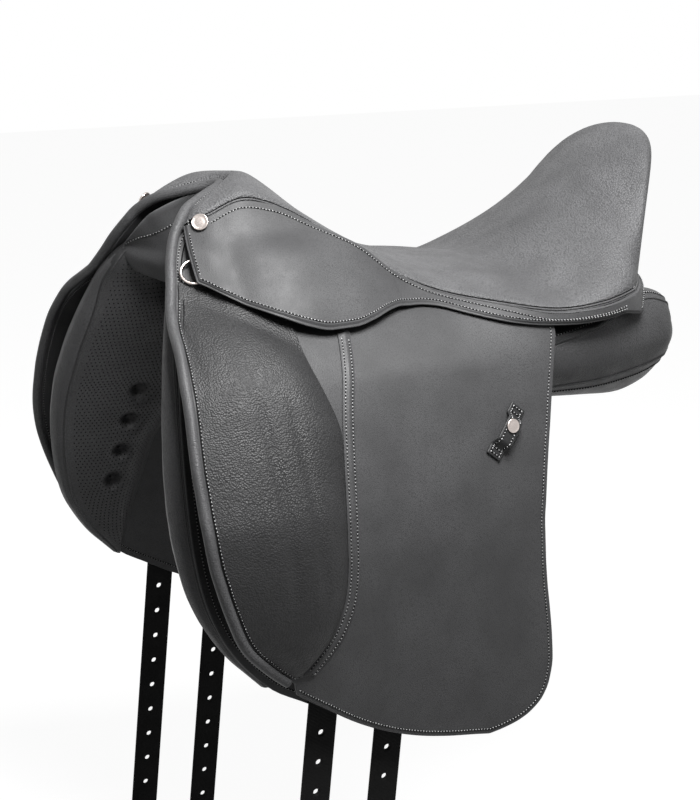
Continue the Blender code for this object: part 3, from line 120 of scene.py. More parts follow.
# The seat cover, as cross sections from the pommel to the back of the cantle.
# Each row: welt x, y, z, centre y, z, rise over the welt, reach from the centre, forward pull.
SEAT_ROWS = table(
    (51.5, -217, 158.5, -161, 185, 8, 12, -9),
    (57, -202, 166, -156, 187.5, 9, 20, -7),
    (58, -176, 176, -145, 182, 7, 26, -4),
    (60, -152, 171.5, -127, 169.5, 5, 26, 0),
    (64, -123, 157, -103, 151.5, 4, 28, 0),
    (73, -91, 135, -76, 135.5, 5, 32, 0),
    (87, -54, 111, -43, 119, 7, 36, 0),
    (104, -17, 95, -6, 109, 7, 42, 0),
    (126, 26, 86, 33, 105, 8, 44, 0),
    (141, 72, 79, 78, 111, 10, 42, 0),
    (147, 112, 82, 117, 129, 13, 38, 0),
    (138, 146, 87, 154, 158, 24, 38, 0),
    (119, 165, 88, 191, 190, 48, 42, 0),
    (97, 180, 89, 222, 208, 90, 54, 0),
    (73, 192, 91, 237, 202, 86, 52, 0),
    (47, 200, 93, 240, 179, 60, 38, 0),
    (22, 204, 96, 232, 142, 26, 18, 0),
    (3, 205, 98, 217, 108, 6, 3, 0),
)
# The outer edge of the flap's front roll, from the pommel down: height, x, y.
FRONT_LINE = table(
    (184, 0, -172), (180, 11, -184), (173, 23, -204), (165, 35, -220), (155, 47, -230.5),
    (145, 54, -237), (130, 67, -244), (115, 80, -249), (100, 101, -255), (85, 127, -261.5),
    (70, 148, -265.5), (50, 166, -269.5), (30, 179, -272), (10, 190, -274), (-10, 200, -275),
    (-30, 209, -275), (-50, 217, -274), (-70, 220, -271.5), (-90, 222, -266.5),
    (-115, 222, -258), (-140, 220, -247), (-162, 218, -228), (-185, 215, -201),
)
# How far out the flap lies at its front and at its rear, by height: height, x.
FLAP_FRONT_X = table(
    (-262, 205), (-225, 210), (-185, 215), (-140, 220), (-90, 222), (-70, 220), (-50, 216.5),
    (-30, 209), (-10, 200), (10, 190), (30, 179), (50, 166), (62, 156), (70, 149),
)
FLAP_REAR_X = table(
    (-262, 199), (-200, 195), (-150, 190), (-100, 185), (-60, 180), (-20, 172), (10, 165),
    (30, 159), (50, 153), (62, 149.5), (70, 147),
)
FLAP_FRONT_Y = -0.270
FLAP_REAR_Y = 0.066
# The flap's outline: height, front y and rear y.
FLAP_OUTLINE = table(
    (61.7, -266.8, 66), (50, -269.5, 63), (30, -272, 58), (10, -274, 53), (-10, -275, 49),
    (-30, -275, 45), (-50, -274, 41.5), (-70, -271.5, 39), (-90, -266.5, 37), (-115, -258, 37),
    (-140, -247, 38), (-162, -228, 40), (-185, -201, 41.5), (-205, -172, 42), (-225, -141, 38.5),
    (-238, -114, 32), (-248, -85, 21), (-254, -58, 9), (-258, -32, -6),
)
# The fixed part above it, up to the edge of the seat.
HEAD_OUTLINE = table(
    (62.3, -266.8, 66), (70, -265.5, 62), (76, -264, 36), (85, -261.5, -6), (100, -255, -43),
    (115, -249, -75), (130, -244, -98), (145, -237, -118), (153, -229, -129), (160, -214, -141),
    (165, -205, -154),
)
# The skirt: upper y, then lower y and height.
SKIRT_STATIONS = table(
    (-221.5, -225.5, 111), (-213, -217, 107.5), (-205, -207, 103), (-190, -190, 94),
    (-172, -174, 85.5), (-152, -155, 79), (-130, -133, 75.5), (-112, -114, 75.5),
    (-92, -94, 78), (-74, -76, 82), (-61, -61, 84.5), (-60.4, -60.4, 84.5), (-45, -45, 85),
    (-30, -30, 83.5), (-10, -10, 78.5), (12, 12, 73), (32, 32, 69), (58, 58, 66),
    (84, 84, 65), (110, 110, 66.5), (135, 135, 69.5),
)
# The sweat flap: height, x at the front and x at the rear.
SWEAT_X = table(
    (-245, 183, 177), (-195, 184, 175), (-160, 183, 173), (-140, 182, 172), (-120, 180, 170),
    (-100, 177, 168), (-80, 174, 166), (-60, 170, 163), (-40, 166, 160), (-20, 160, 157),
    (0, 153, 153), (20, 143, 148), (40, 132, 142), (60, 119, 135), (80, 105, 124),
    (100, 88, 108), (112, 76, 98), (128, 61, 88),
)
SWEAT_OUTLINE = table(
    (70, -250, 30), (60, -254.5, 42), (40, -259, 44), (20, -262.5, 42), (0, -265, 39),
    (-20, -266.5, 36), (-40, -267, 33), (-60, -266.5, 30), (-80, -265, 28), (-100, -262, 27),
    (-120, -257, 27), (-140, -249, 27), (-160, -237, 27), (-180, -220, 28), (-195, -203, 28),
    (-208, -180, 27), (-220, -158, 22), (-230, -136, 12), (-238, -112, -4), (-243, -86, -26),
)
# The front leaf of the panel, against the horse's shoulder: height, front y, rear y and thickness.
LEAF_OUTLINE = table(
    (126, -232, -190, 5), (118, -240, -172, 9), (100, -249, -150, 14), (80, -253.5, -120, 22),
    (60, -258, -90, 26), (40, -262, -66, 28), (20, -265, -62, 30),
    (0, -267.5, -80, 31), (-20, -269, -115, 31), (-40, -269.5, -145, 31),
    (-60, -269, -164, 30), (-80, -267, -176, 29), (-100, -264, -182, 27), (-120, -259, -187, 24),
    (-140, -250, -193, 21), (-160, -238, -198, 17), (-178, -223, -203, 12), (-190, -213, -206, 8),
)
# The long bearing part of the panel: y, then eight corners x, z around each cross section.
BEARER_SECTIONS = [
    (-0.185, table((37, 110), (58, 117), (82, 96), (98, 66), (92, 50), (80, 54), (62, 74), (40, 94))),
    (-0.140, table((33, 106), (60, 111), (90, 86), (112, 48), (106, 28), (90, 30), (64, 56), (36, 84))),
    (-0.090, table((32, 88), (62, 92), (94, 74), (120, 36), (116, 10), (98, 8), (66, 32), (35, 62))),
    (-0.040, table((32, 74), (64, 78), (96, 64), (124, 30), (122, 2), (102, -6), (68, 12), (35, 44))),
    (0.015, table((32, 66), (66, 70), (98, 58), (128, 34), (128, 8), (106, -4), (70, 2), (35, 30))),
    (0.070, table((32, 62), (68, 66), (100, 60), (132, 44), (134, 18), (110, -4), (72, -8), (35, 20))),
    (0.125, table((32, 62), (70, 67), (104, 66), (131, 57), (135, 24), (110, -6), (72, -14), (35, 14))),
    (0.170, table((32, 62), (70, 70), (101, 78), (121, 73), (129, 32), (104, -4), (70, -19), (34, 14))),
    (0.200, table((32, 56), (64, 68), (92, 74), (112, 67), (120, 34), (96, 2), (66, -15), (36, 10))),
    (0.212, table((33, 50), (58, 59), (82, 62), (101, 57), (108, 32), (88, 6), (62, -9), (36, 16))),
    (0.222, table((36, 42), (56, 47), (76, 49), (91, 45), (95, 30), (79, 9), (58, -1), (40, 20))),
    (0.229, table((42, 36), (56, 39), (68, 41), (80, 39), (82, 28), (70, 14), (57, 7), (45, 22))),
]
# Tufts sewn through the front leaf: y, z.
TUFTS = table((-202, -12), (-209, -44), (-214.5, -76), (-220.5, -107))
TUFT_DEPTH = 0.0135
TUFT_REACH = 0.0080


def lookup(rows, key, column=1):
    """A smooth curve through a table's rows, by its first column."""
    if rows[0][0] > rows[-1][0]:
        rows = rows[::-1]
    if key <= rows[0][0]:
        return rows[0][column]
    if key >= rows[-1][0]:
        return rows[-1][column]
    i = 0
    while rows[i + 1][0] < key:
        i += 1
    x0 = rows[i][0]
    x1 = rows[i + 1][0]
    y0 = rows[i][column]
    y1 = rows[i + 1][column]
    slope = (y1 - y0) / (x1 - x0)

    def tangent(k):
        if k == 0 or k == len(rows) - 1:
            return slope
        left = (rows[k][column] - rows[k - 1][column]) / (rows[k][0] - rows[k - 1][0])
        right = (rows[k + 1][column] - rows[k][column]) / (rows[k + 1][0] - rows[k][0])
        if left * right <= 0:
            return 0.0
        return 2 * left * right / (left + right)

    h = x1 - x0
    t = (key - x0) / h
    m0 = tangent(i) * h
    m1 = tangent(i + 1) * h
    return (
        y0 * (2 * t**3 - 3 * t**2 + 1)
        + m0 * (t**3 - 2 * t**2 + t)
        + y1 * (-2 * t**3 + 3 * t**2)
        + m1 * (t**3 - t**2)
    )


def mix(a, b, t):
    return a + (b - a) * t


def flipped(point):
    """The same point on the other side."""
    return Vector((-point.x, point.y, point.z))


def spread(a, b, count):
    """Evenly spread values from a to b."""
    return [mix(a, b, i / (count - 1)) for i in range(count)]


SEAT_LAST = len(SEAT_ROWS) - 1
WELT = [(row[1], row[0], row[2]) for row in SEAT_ROWS]
# The heights between which the flap's head ends at the front roll, not at the seat.
ROLL_EDGE = (0.080, 0.160)
EDGE = sorted([(y, x, z) for z, x, y in FRONT_LINE if ROLL_EDGE[0] < z < ROLL_EDGE[1]] + WELT)


HEAD_BOW = 0.45           # how much the flap's head bows out above the bend
HEAD_LEAST = 0.012        # height of a head that is high enough to bow
EASE_STEPS = (-0.018, -0.009, 0, 0.009, 0.018)
EASE_REACH = (0.010, 0.030)


def edge_point(y):
    """Where the head of the flap meets the roll or the seat: x and z."""
    return lookup(EDGE, y, 1), lookup(EDGE, y, 2)


def flap_face_x(y, z):
    """How far out the flap's outer face lies, with its bend."""
    t = min(max((y - FLAP_FRONT_Y) / (FLAP_REAR_Y - FLAP_FRONT_Y), 0), 1.25)
    if z <= HINGE_Z:
        return mix(lookup(FLAP_FRONT_X, z), lookup(FLAP_REAR_X, z), t)
    x_low = mix(lookup(FLAP_FRONT_X, HINGE_Z), lookup(FLAP_REAR_X, HINGE_Z), t)
    x_top, z_top = edge_point(y)
    if z_top - HINGE_Z < HEAD_LEAST:
        return mix(lookup(FLAP_FRONT_X, z), lookup(FLAP_REAR_X, z), t)
    u = min((z - HINGE_Z) / (z_top - HINGE_Z), 1.1)
    return x_low + (x_top - x_low) * (u + HEAD_BOW * u * (1 - u))


def flap_x(y, z):
    """How far out the flap's outer face lies. The leather is eased over the bend."""
    near = 1 - smoothstep(*EASE_REACH, abs(z - HINGE_Z))
    if near == 0:
        return flap_face_x(y, z)
    eased_x = sum(flap_face_x(y, z + step) for step in EASE_STEPS) / len(EASE_STEPS)
    return mix(flap_face_x(y, z), eased_x, near)


def smoothstep(low, high, value):
    t = min(max((value - low) / (high - low), 0), 1)
    return t * t * (3 - 2 * t)


def sweat_x(y, z):
    """How far out the sweat flap's outer face lies."""
    t = min(max((y - FLAP_FRONT_Y) / (FLAP_REAR_Y - FLAP_FRONT_Y), 0), 1)
    return mix(lookup(SWEAT_X, z, 1), lookup(SWEAT_X, z, 2), t)


def on_surface(field, y, z, out=0.0):
    """A point on a side surface, moved outwards along its normal."""
    step = 0.002
    slope_y = (field(y + step, z) - field(y - step, z)) / (2 * step)
    slope_z = (field(y, z + step) - field(y, z - step)) / (2 * step)
    normal = Vector((1, -slope_y, -slope_z)).normalized()
    return Vector((field(y, z), y, z)) + normal * out


def surface_frame(field, y, z, angle=0.0):
    """A matrix on a side surface: X along it to the rear, turned by an angle, Z outwards."""
    step = 0.003
    origin = on_surface(field, y, z)
    along = (on_surface(field, y + step, z) - origin).normalized()
    up = (on_surface(field, y, z + step) - origin).normalized()
    normal = along.cross(up).normalized()
    if normal.x < 0:
        normal = -normal
    up = normal.cross(along)
    first = along * math.cos(angle) + up * math.sin(angle)
    second = normal.cross(first)
    frame = Matrix((first, second, normal)).transposed().to_4x4()
    frame.translation = origin
    return frame


# Middles of the stirrup bar and of the ring on the flap: y, z.
BAR_PLACE = (-0.128, 0.108)
RING_PLACE = (-0.224, 0.1205)
# How far the skirt's swells over them reach: y, z.
BAR_REACH = (0.062, 0.032)
RING_REACH = (0.022, 0.024)


def skirt_out(y, z):
    """How far the skirt's underside stands off the flap."""
    out = SKIRT_LIFT
    for place, reach, bulge in ((BAR_PLACE, BAR_REACH, SKIRT_BULGE), (RING_PLACE, RING_REACH, RING_BULGE)):
        away = ((y - place[0]) / reach[0]) ** 4 + ((z - place[1]) / reach[1]) ** 4
        out += bulge * math.exp(-away)
    return out


def curve(a, b, c, d, t):
    """A smooth curve between b and c, at a share t, with a before them and d after them."""
    return (2 * b + (c - a) * t + (2 * a - 5 * b + 4 * c - d) * t**2
            + (3 * b - a - 3 * c + d) * t**3) * 0.5


def seat_row(value):
    """A cross section's values at a place between the rows of the table."""
    i = min(int(value), SEAT_LAST - 1)
    rows = [SEAT_ROWS[min(max(k, 0), SEAT_LAST)] for k in (i - 1, i, i + 1, i + 2)]
    return [curve(*column, value - i) for column in zip(*rows)]


def seat_outward(value, step):
    """The level direction away from the seat's edge."""
    near = seat_row(max(value - step, 0))
    far = seat_row(min(value + step, SEAT_LAST))
    along = Vector((far[0] - near[0], far[1] - near[1], 0)).normalized()
    return Vector((along.y, -along.x, 0))


SEAT_LEAN = 0.10          # how far the seat's side leans in and back, for its rise
PULL_LIFT = 0.12          # how much of the forward pull goes upwards
FRONT_FILL = 0.0040       # extra height behind the pommel
FRONT_FILL_ROW = 2.3
FRONT_FILL_REACH = 1.1


def seat_point(value, across):
    """A point on the seat cover: value runs to the cantle, across from -1 (right) to 1 (left)."""
    x, y, z, y_mid, z_mid, rise, reach, pull = seat_row(value)
    t = 1 - abs(across)
    s = 1 - t
    start = Vector((x, y, z))
    first = start + Vector((SEAT_LEAN * rise, mix(0, SEAT_LEAN, value / SEAT_LAST) * rise, rise))
    last = Vector((0, y_mid, z_mid))
    second = last + Vector((reach, pull, PULL_LIFT * pull))
    point = start * s**3 + first * 3 * s**2 * t + second * 3 * s * t**2 + last * t**3
    near = math.exp(-((value - FRONT_FILL_ROW) / FRONT_FILL_REACH) ** 2)
    point.z += FRONT_FILL * near * (1 - across * across)
    return flipped(point) if across < 0 else point


TREE_REAR = 0.192
SKIRT_DROP = WELT_DROP + WELT_RADIUS + CLEAR    # from the cover's edge to the skirt's
STUD_PLACE = (-0.2090, 0.1565)
ROLL_END = (-0.185, -0.190)                     # heights between which the roll runs out
MOST_SLANT = 1.5


def front_slant(z):
    """How much longer a width is along y than across the front line, at a height."""
    step = 0.004
    slope = (lookup(FRONT_LINE, z + step, 2) - lookup(FRONT_LINE, z - step, 2)) / (2 * step)
    return min(math.sqrt(1 + slope * slope), MOST_SLANT)


ROLL_SINK = 0.0015        # how far the roll's middle lies behind the leather's face


def roll_centre(z):
    """The middle of the front roll at a height: x, y, z."""
    y = lookup(FRONT_LINE, z, 2) + PIPING_RADIUS * front_slant(z)
    x = lookup(FRONT_LINE, z, 1)
    if z <= HINGE_Z + 0.040:
        x = flap_x(y, z) - ROLL_SINK
    return Vector((x, y, z))


# The knee pad: height, front y and rear y.
PAD_OUTLINE = table(
    (46, -255, -137), (30, -257.5, -141.5), (10, -259.5, -145.5), (-10, -260.5, -148.5),
    (-30, -260.5, -151), (-50, -259.5, -153), (-70, -257, -154), (-90, -252, -154.5),
    (-115, -243.5, -157), (-140, -230.5, -167), (-162, -213.5, -186), (-170, -206, -194),
)
KEEPER_PLACE = (0.0036, -0.0103)
KEEPER_TURN = math.radians(50)
KEEPER_FLAT = 0.0075      # length of its flat ends
KEEPER_STEEP = 2.6        # how soon it reaches its full height


def keeper_frame():
    return surface_frame(flap_x, KEEPER_PLACE[0], KEEPER_PLACE[1], KEEPER_TURN)


def keeper_height(x):
    """How high the tab arches, along its length."""
    half = KEEPER_LENGTH / 2 - KEEPER_FLAT
    return KEEPER_RISE * smoothstep(0, 1, (1 - abs(x) / half) * KEEPER_STEEP)


STRAPS = {"front": -0.169, "rear": -0.107}
STRAP_TOP = 0.044


def strap_y(name, z):
    """The middle of a girth strap at a height: it leans forward as it goes down."""
    return STRAPS[name] - (STRAP_SPLIT_Z - z) * STRAP_LEAN


def hole_heights():
    return [FIRST_HOLE_Z - HOLE_SPACING * k for k in range(HOLE_COUNT)]


CHAPE_THICK = 0.0010
RING_BASE = 0.0024        # off the curved leather behind it


def ring_frame():
    return surface_frame(flap_x, RING_PLACE[0], RING_PLACE[1])


LEAF_CROWN = 0.22         # how much fuller the leaf is in its middle
LEAF_THIN = 0.6           # share from which it thins towards its rear
LEAF_THINNING = 4.7


def leaf_thickness(z, share):
    """Thickness of the panel's front leaf, fuller in the middle: share from front to rear."""
    crown = 4 * share * (1 - share)
    return lookup(LEAF_OUTLINE, z, 3) * (1 + LEAF_CROWN * crown)


def leaf_front(z):
    return lookup(LEAF_OUTLINE, z, 1) + BOXING_THICK + CLEAR


def leaf_inner_point(z, share):
    """A point on the leaf's face against the horse, with the tufts pulled in."""
    y = mix(leaf_front(z), lookup(LEAF_OUTLINE, z, 2), share)
    thickness = leaf_thickness(z, share)
    if share > LEAF_THIN:
        thickness *= 1 - LEAF_THINNING * (share - LEAF_THIN) ** 2
    for tuft_y, tuft_z in TUFTS:
        distance = math.hypot(y - tuft_y, z - tuft_z)
        thickness -= TUFT_DEPTH * math.exp(-(distance / TUFT_REACH) ** 2)
    return on_surface(sweat_x, y, z, -SWEAT_THICK - CLEAR - thickness)


BOXING_THICK = 0.0014
# The front facing's lower edge, from the left side to the middle.
FRONT_FACING = table(
    (63, -231, 124), (54, -218, 118), (42, -204, 114), (33, -190, 119), (28, -172, 134), (16, -158, 150),
    (0, -153, 157),
)
# Its upper edge near the middle, just under the roll.
FACING_TOP = table((20.4, -193.4, 166.8), (6.8, -173.7, 172.5), (0, -168, 174.5))
FACING_THICK = 0.0014


def moved_out(grid, distance):
    """The same grid of points, moved along its normals."""
    result = []
    for i, line in enumerate(grid):
        ahead = grid[min(i + 1, len(grid) - 1)]
        behind = grid[max(i - 1, 0)]
        moved = []
        for j, point in enumerate(line):
            across = line[min(j + 1, len(line) - 1)] - line[max(j - 1, 0)]
            moved.append(point + (ahead[j] - behind[j]).cross(across).normalized() * distance)
        result.append(moved)
    return result


# Mesh tools

ROUNDING = 0.3            # how far a sheet's edge bulges, for its thickness
EDGE_TURNS = (math.pi / 4, math.pi / 2, 3 * math.pi / 4)


def mirrored(mesh):
    """The same mesh on the other side, with its faces still outwards."""
    result = mesh.copy()
    result.transform(Matrix.Scale(-1, 4, (1, 0, 0)))
    result.flip_normals()
    return result


def mesh_from(name, points, faces, surface=None, edge=None):
    """A mesh with each point's place on the surface as UVs, and its nearness to an edge as an attribute."""
    mesh = bpy.data.meshes.new(name)
    mesh.from_pydata([tuple(p) for p in points], [], faces)
    if surface:
        layer = mesh.uv_layers.new(name="surface")
        for loop in mesh.loops:
            layer.data[loop.index].uv = surface[loop.vertex_index]
    if edge:
        attribute = mesh.attributes.new("edge", "FLOAT", "POINT")
        for i, value in enumerate(edge):
            attribute.data[i].value = value
    return mesh


def outwards(mesh):
    """Merges doubled points and turns the faces outwards."""
    work = bmesh.new()
    work.from_mesh(mesh)
    bmesh.ops.remove_doubles(work, verts=work.verts, dist=0.00001)
    bmesh.ops.recalc_face_normals(work, faces=work.faces)
    if work.calc_volume(signed=True) < 0:
        bmesh.ops.reverse_faces(work, faces=work.faces)
    work.to_mesh(mesh)
    work.free()
    return mesh


def grid_places(grid):
    """Distances along the rows and columns of a grid of points, in metres."""
    middle = len(grid[0]) // 2
    places = []
    down = 0.0
    for i, row in enumerate(grid):
        if i:
            down += (row[middle] - grid[i - 1][middle]).length
        across = -sum((row[j + 1] - row[j]).length for j in range(middle))
        for j, point in enumerate(row):
            if j:
                across += (point - row[j - 1]).length
            places.append((across, down))
    return places


def sheet(name, outer, inner):
    """A closed sheet between two grids of points, with rounded edges."""
    rows = len(outer)
    columns = len(outer[0])
    half = rows * columns
    points = [p for row in outer for p in row] + [p for row in inner for p in row]
    faces = []
    for i in range(rows - 1):
        for j in range(columns - 1):
            a = i * columns + j
            b = a + columns
            faces.append((a, a + 1, b + 1, b))
            faces.append((half + b, half + b + 1, half + a + 1, half + a))
    rim = [(0, j) for j in range(columns)]
    rim += [(i, columns - 1) for i in range(1, rows)]
    rim += [(rows - 1, j) for j in range(columns - 2, -1, -1)]
    rim += [(i, 0) for i in range(rows - 2, 0, -1)]
    edge = [0.0] * (2 * half)
    places = grid_places(outer)
    places += places
    bands = []
    for k, (i, j) in enumerate(rim):
        top = outer[i][j]
        low = inner[i][j]
        before = outer[rim[k - 1][0]][rim[k - 1][1]]
        after_place = rim[(k + 1) % len(rim)]
        out = (outer[after_place[0]][after_place[1]] - before).cross(low - top).normalized()
        inwards = outer[min(max(i, 1), rows - 2)][min(max(j, 1), columns - 2)] - top
        if out.dot(inwards) > 0:
            out = -out
        bulge = (low - top).length * ROUNDING
        band = [i * columns + j]
        for turn in EDGE_TURNS:
            points.append(top.lerp(low, (1 - math.cos(turn)) / 2) + out * bulge * math.sin(turn))
            places.append(places[band[0]])
            edge.append(1.0)
            band.append(len(points) - 1)
        band.append(half + i * columns + j)
        edge[band[0]] = 1.0
        edge[band[-1]] = 1.0
        bands.append(band)
    for k, band in enumerate(bands):
        after = bands[(k + 1) % len(bands)]
        for m in range(4):
            faces.append((after[m], band[m], band[m + 1], after[m + 1]))
    return outwards(mesh_from(name, points, faces, places, edge))


def tube_faces(count, sides, closed=False):
    """The faces round a tube, from each ring of points to the next."""
    faces = []
    for i in range(count if closed else count - 1):
        a = i * sides
        b = (i + 1) % count * sides
        for j in range(sides):
            k = (j + 1) % sides
            faces.append((a + j, a + k, b + k, b + j))
    return faces


def rings_mesh(name, rings):
    """A closed solid through rings of points, with pinched ends."""
    count = len(rings[0])
    points = [p for ring in rings for p in ring]
    faces = tube_faces(len(rings), count)
    for ring in (0, len(rings) - 1):
        start = ring * count
        tip = len(points)
        points.append(sum(rings[ring], Vector()) / count)
        for j in range(count):
            k = (j + 1) % count
            faces.append((tip, start + j, start + k) if ring else (tip, start + k, start + j))
    places = [(j / count, i / len(rings)) for i in range(len(rings)) for j in range(count)]
    places += [(0.5, 0.0), (0.5, 1.0)]
    return outwards(mesh_from(name, points, faces, places))


def tube(name, path, radius, sides, ripple):
    """A round piping along a path, with its length and turn as UVs. The ripple changes its radius."""
    points = []
    places = []
    side = None
    along = 0.0
    for i, point in enumerate(path):
        forward = (path[min(i + 1, len(path) - 1)] - path[max(i - 1, 0)]).normalized()
        if side is None:
            side = forward.orthogonal().normalized()
        side = (side - forward * side.dot(forward)).normalized()
        other = forward.cross(side)
        if i:
            along += (point - path[i - 1]).length
        for k in range(sides):
            turn = 2 * math.pi * k / sides
            out = side * math.cos(turn) + other * math.sin(turn)
            points.append(point + out * (radius + ripple(point, out)))
            places.append((k / sides * 2 * math.pi * radius, along))
    faces = tube_faces(len(path), sides)
    faces.append(tuple(range(sides - 1, -1, -1)))
    faces.append(tuple(range(len(points) - sides, len(points))))
    return outwards(mesh_from(name, points, faces, places))


def closed_tube(name, path, radius, sides):
    """A round ring along a closed flat path."""
    middle = sum(path, Vector()) / len(path)
    axis = (path[0] - middle).cross(path[len(path) // 4] - middle).normalized()
    points = []
    for i, point in enumerate(path):
        forward = (path[(i + 1) % len(path)] - path[i - 1]).normalized()
        side = forward.cross(axis).normalized()
        for k in range(sides):
            turn = 2 * math.pi * k / sides
            points.append(point + side * radius * math.cos(turn) + axis * radius * math.sin(turn))
    return outwards(mesh_from(name, points, tube_faces(len(path), sides, closed=True)))


def turned(name, profile, place, steps):
    """A turned solid about its frame's Z, from radius and height pairs that start and end on the axis."""
    points = []
    rings = []
    for radius, height in profile:
        if radius < 1e-7:
            rings.append([len(points)])
            points.append(place @ Vector((0, 0, height)))
            continue
        rings.append(list(range(len(points), len(points) + steps)))
        for k in range(steps):
            turn = 2 * math.pi * k / steps
            points.append(place @ Vector((radius * math.cos(turn), radius * math.sin(turn), height)))
    faces = []
    for low, high in zip(rings, rings[1:]):
        for k in range(steps):
            m = (k + 1) % steps
            corners = [low[k % len(low)], low[m % len(low)], high[m % len(high)], high[k % len(high)]]
            faces.append(tuple(dict.fromkeys(corners)))
    return outwards(mesh_from(name, points, faces))


def polylines(name, lines):
    """A mesh of open lines, for the trees that follow them."""
    points = []
    edges = []
    for line in lines:
        start = len(points)
        points += [tuple(p) for p in line]
        edges += [(k, k + 1) for k in range(start, len(points) - 1)]
    mesh = bpy.data.meshes.new(name)
    mesh.from_pydata(points, edges, [])
    return mesh


def applied(mesh, prepare):
    """The mesh after the modifiers that prepare() puts on an object of it."""
    item = bpy.data.objects.new("work", mesh)
    bpy.context.scene.collection.objects.link(item)
    prepare(item)
    depsgraph = bpy.context.evaluated_depsgraph_get()
    result = bpy.data.meshes.new_from_object(item.evaluated_get(depsgraph))
    item.modifiers.clear()
    bpy.data.objects.remove(item)
    bpy.data.meshes.remove(mesh)
    return result


def eased(mesh):
    """Rounds the sharp edges of a sheet."""
    def prepare(item):
        bevel = item.modifiers.new("ease", "BEVEL")
        bevel.width = 0.0002
        bevel.segments = 2
        bevel.limit_method = "ANGLE"
        bevel.angle_limit = math.radians(50)
    return applied(mesh, prepare)


def polished(mesh):
    """Shades a mesh smooth."""
    mesh.shade_smooth()
    return mesh


def dress(mesh, name, finish, body, nodes=(), bend=None):
    """Makes a piece of a mesh, with its finish, its body and the frame's nodes that it stands for."""
    piece = bpy.data.objects.new(name, mesh)
    bpy.context.scene.collection.objects.link(piece)
    if finish is not None:
        mesh.materials.clear()
        mesh.materials.append(finished(finish))
    if bend:
        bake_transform(piece)
    else:
        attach(piece, body)
    if nodes:
        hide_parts(*nodes)
    return piece


def dress_pair(mesh, name, finish, child=None, nodes=(), bend=None):
    """The left piece and its twin on the right. A child is a moving body's name without its side."""
    for side in SIDES:
        data = mesh if side == "left" else mirrored(mesh)
        hinge = bend
        if bend and side == "right":
            hinge = [flipped(Vector(p)) for p in bend]
        body = f"{side}_{child}" if child else ROOT
        dress(polished(data), f"{name}_{side}", finish, body,
              [f"{node}_{side}" for node in nodes], hinge)


def line_lengths(line):
    lengths = [0.0]
    for a, b in zip(line, line[1:]):
        lengths.append(lengths[-1] + (Vector(b) - Vector(a)).length)
    return lengths


def resampled(line, count):
    """The same line with evenly spread points."""
    lengths = line_lengths(line)
    result = []
    k = 0
    for target in spread(0, lengths[-1], count):
        while k < len(line) - 2 and lengths[k + 1] < target:
            k += 1
        t = (target - lengths[k]) / max(lengths[k + 1] - lengths[k], 1e-9)
        result.append(Vector(line[k]).lerp(Vector(line[k + 1]), min(max(t, 0), 1)))
    return result


def inset_line(line, distance):
    """A flat line of y, z points moved sideways, to its left as it runs."""
    result = []
    for i, point in enumerate(line):
        ahead = Vector(line[min(i + 1, len(line) - 1)])
        behind = Vector(line[max(i - 1, 0)])
        along = (ahead - behind).normalized()
        result.append(Vector(point) + Vector((-along.y, along.x)) * distance)
    return result


# The Geometry Nodes trees for what repeats or follows a line

def add_node(tree, kind, inputs=None, **values):
    """A new node. An input is a value, an output, a node for its first output, or a list of these."""
    made = tree.nodes.new(kind)
    for key, value in values.items():
        setattr(made, key, value)
    for key, value in (inputs or {}).items():
        for one in value if isinstance(value, list) else [value]:
            if isinstance(one, bpy.types.Node):
                one = one.outputs[0]
            if isinstance(one, bpy.types.NodeSocket):
                tree.links.new(one, made.inputs[key])
            else:
                made.inputs[key].default_value = one
    return made


class Tree:
    """A tree in the making, with its named inputs. An input with no default is a material."""

    def __init__(self, name, **inputs):
        self.tree = bpy.data.node_groups.new(name, "GeometryNodeTree")
        sockets = self.tree.interface
        sockets.new_socket("Geometry", in_out="INPUT", socket_type="NodeSocketGeometry")
        sockets.new_socket("Geometry", in_out="OUTPUT", socket_type="NodeSocketGeometry")
        kinds = {float: "NodeSocketFloat", int: "NodeSocketInt", type(None): "NodeSocketMaterial"}
        for label, default in inputs.items():
            item = sockets.new_socket(label, in_out="INPUT", socket_type=kinds[type(default)])
            if default is not None:
                item.default_value = default
        self.given = self.tree.nodes.new("NodeGroupInput").outputs

    def add(self, kind, inputs=None, **values):
        return add_node(self.tree, kind, inputs, **values)

    def even_line(self, spacing):
        """Each line, with evenly spaced points."""
        line = self.add("GeometryNodeMeshToCurve", {"Mesh": self.given["Geometry"]})
        return self.add("GeometryNodeResampleCurve", {"Curve": line, "Length": spacing}, mode="LENGTH")

    def round_along(self, line, radius, corners):
        """A round solid along a line."""
        profile = self.add("GeometryNodeCurvePrimitiveCircle", {"Resolution": corners, "Radius": radius},
                           mode="RADIUS")
        return self.add("GeometryNodeCurveToMesh",
                        {"Curve": line, "Profile Curve": profile, "Fill Caps": True})

    def on_points(self, points, shape, direction, width, height):
        """A shape on each point, turned to a direction."""
        size = self.add("ShaderNodeCombineXYZ", {"X": width, "Y": width, "Z": height})
        turn = self.add("FunctionNodeAlignRotationToVector", {"Vector": direction}, axis="Z")
        return self.add("GeometryNodeInstanceOnPoints",
                        {"Points": points, "Instance": shape, "Rotation": turn, "Scale": size})

    def covered(self, shape, cover):
        """The shape made real, in its material."""
        real = self.add("GeometryNodeRealizeInstances", {"Geometry": shape})
        return self.add("GeometryNodeSetMaterial", {"Geometry": real, "Material": cover})

    def done(self, shape):
        self.add("NodeGroupOutput", {"Geometry": shape})
        return self.tree


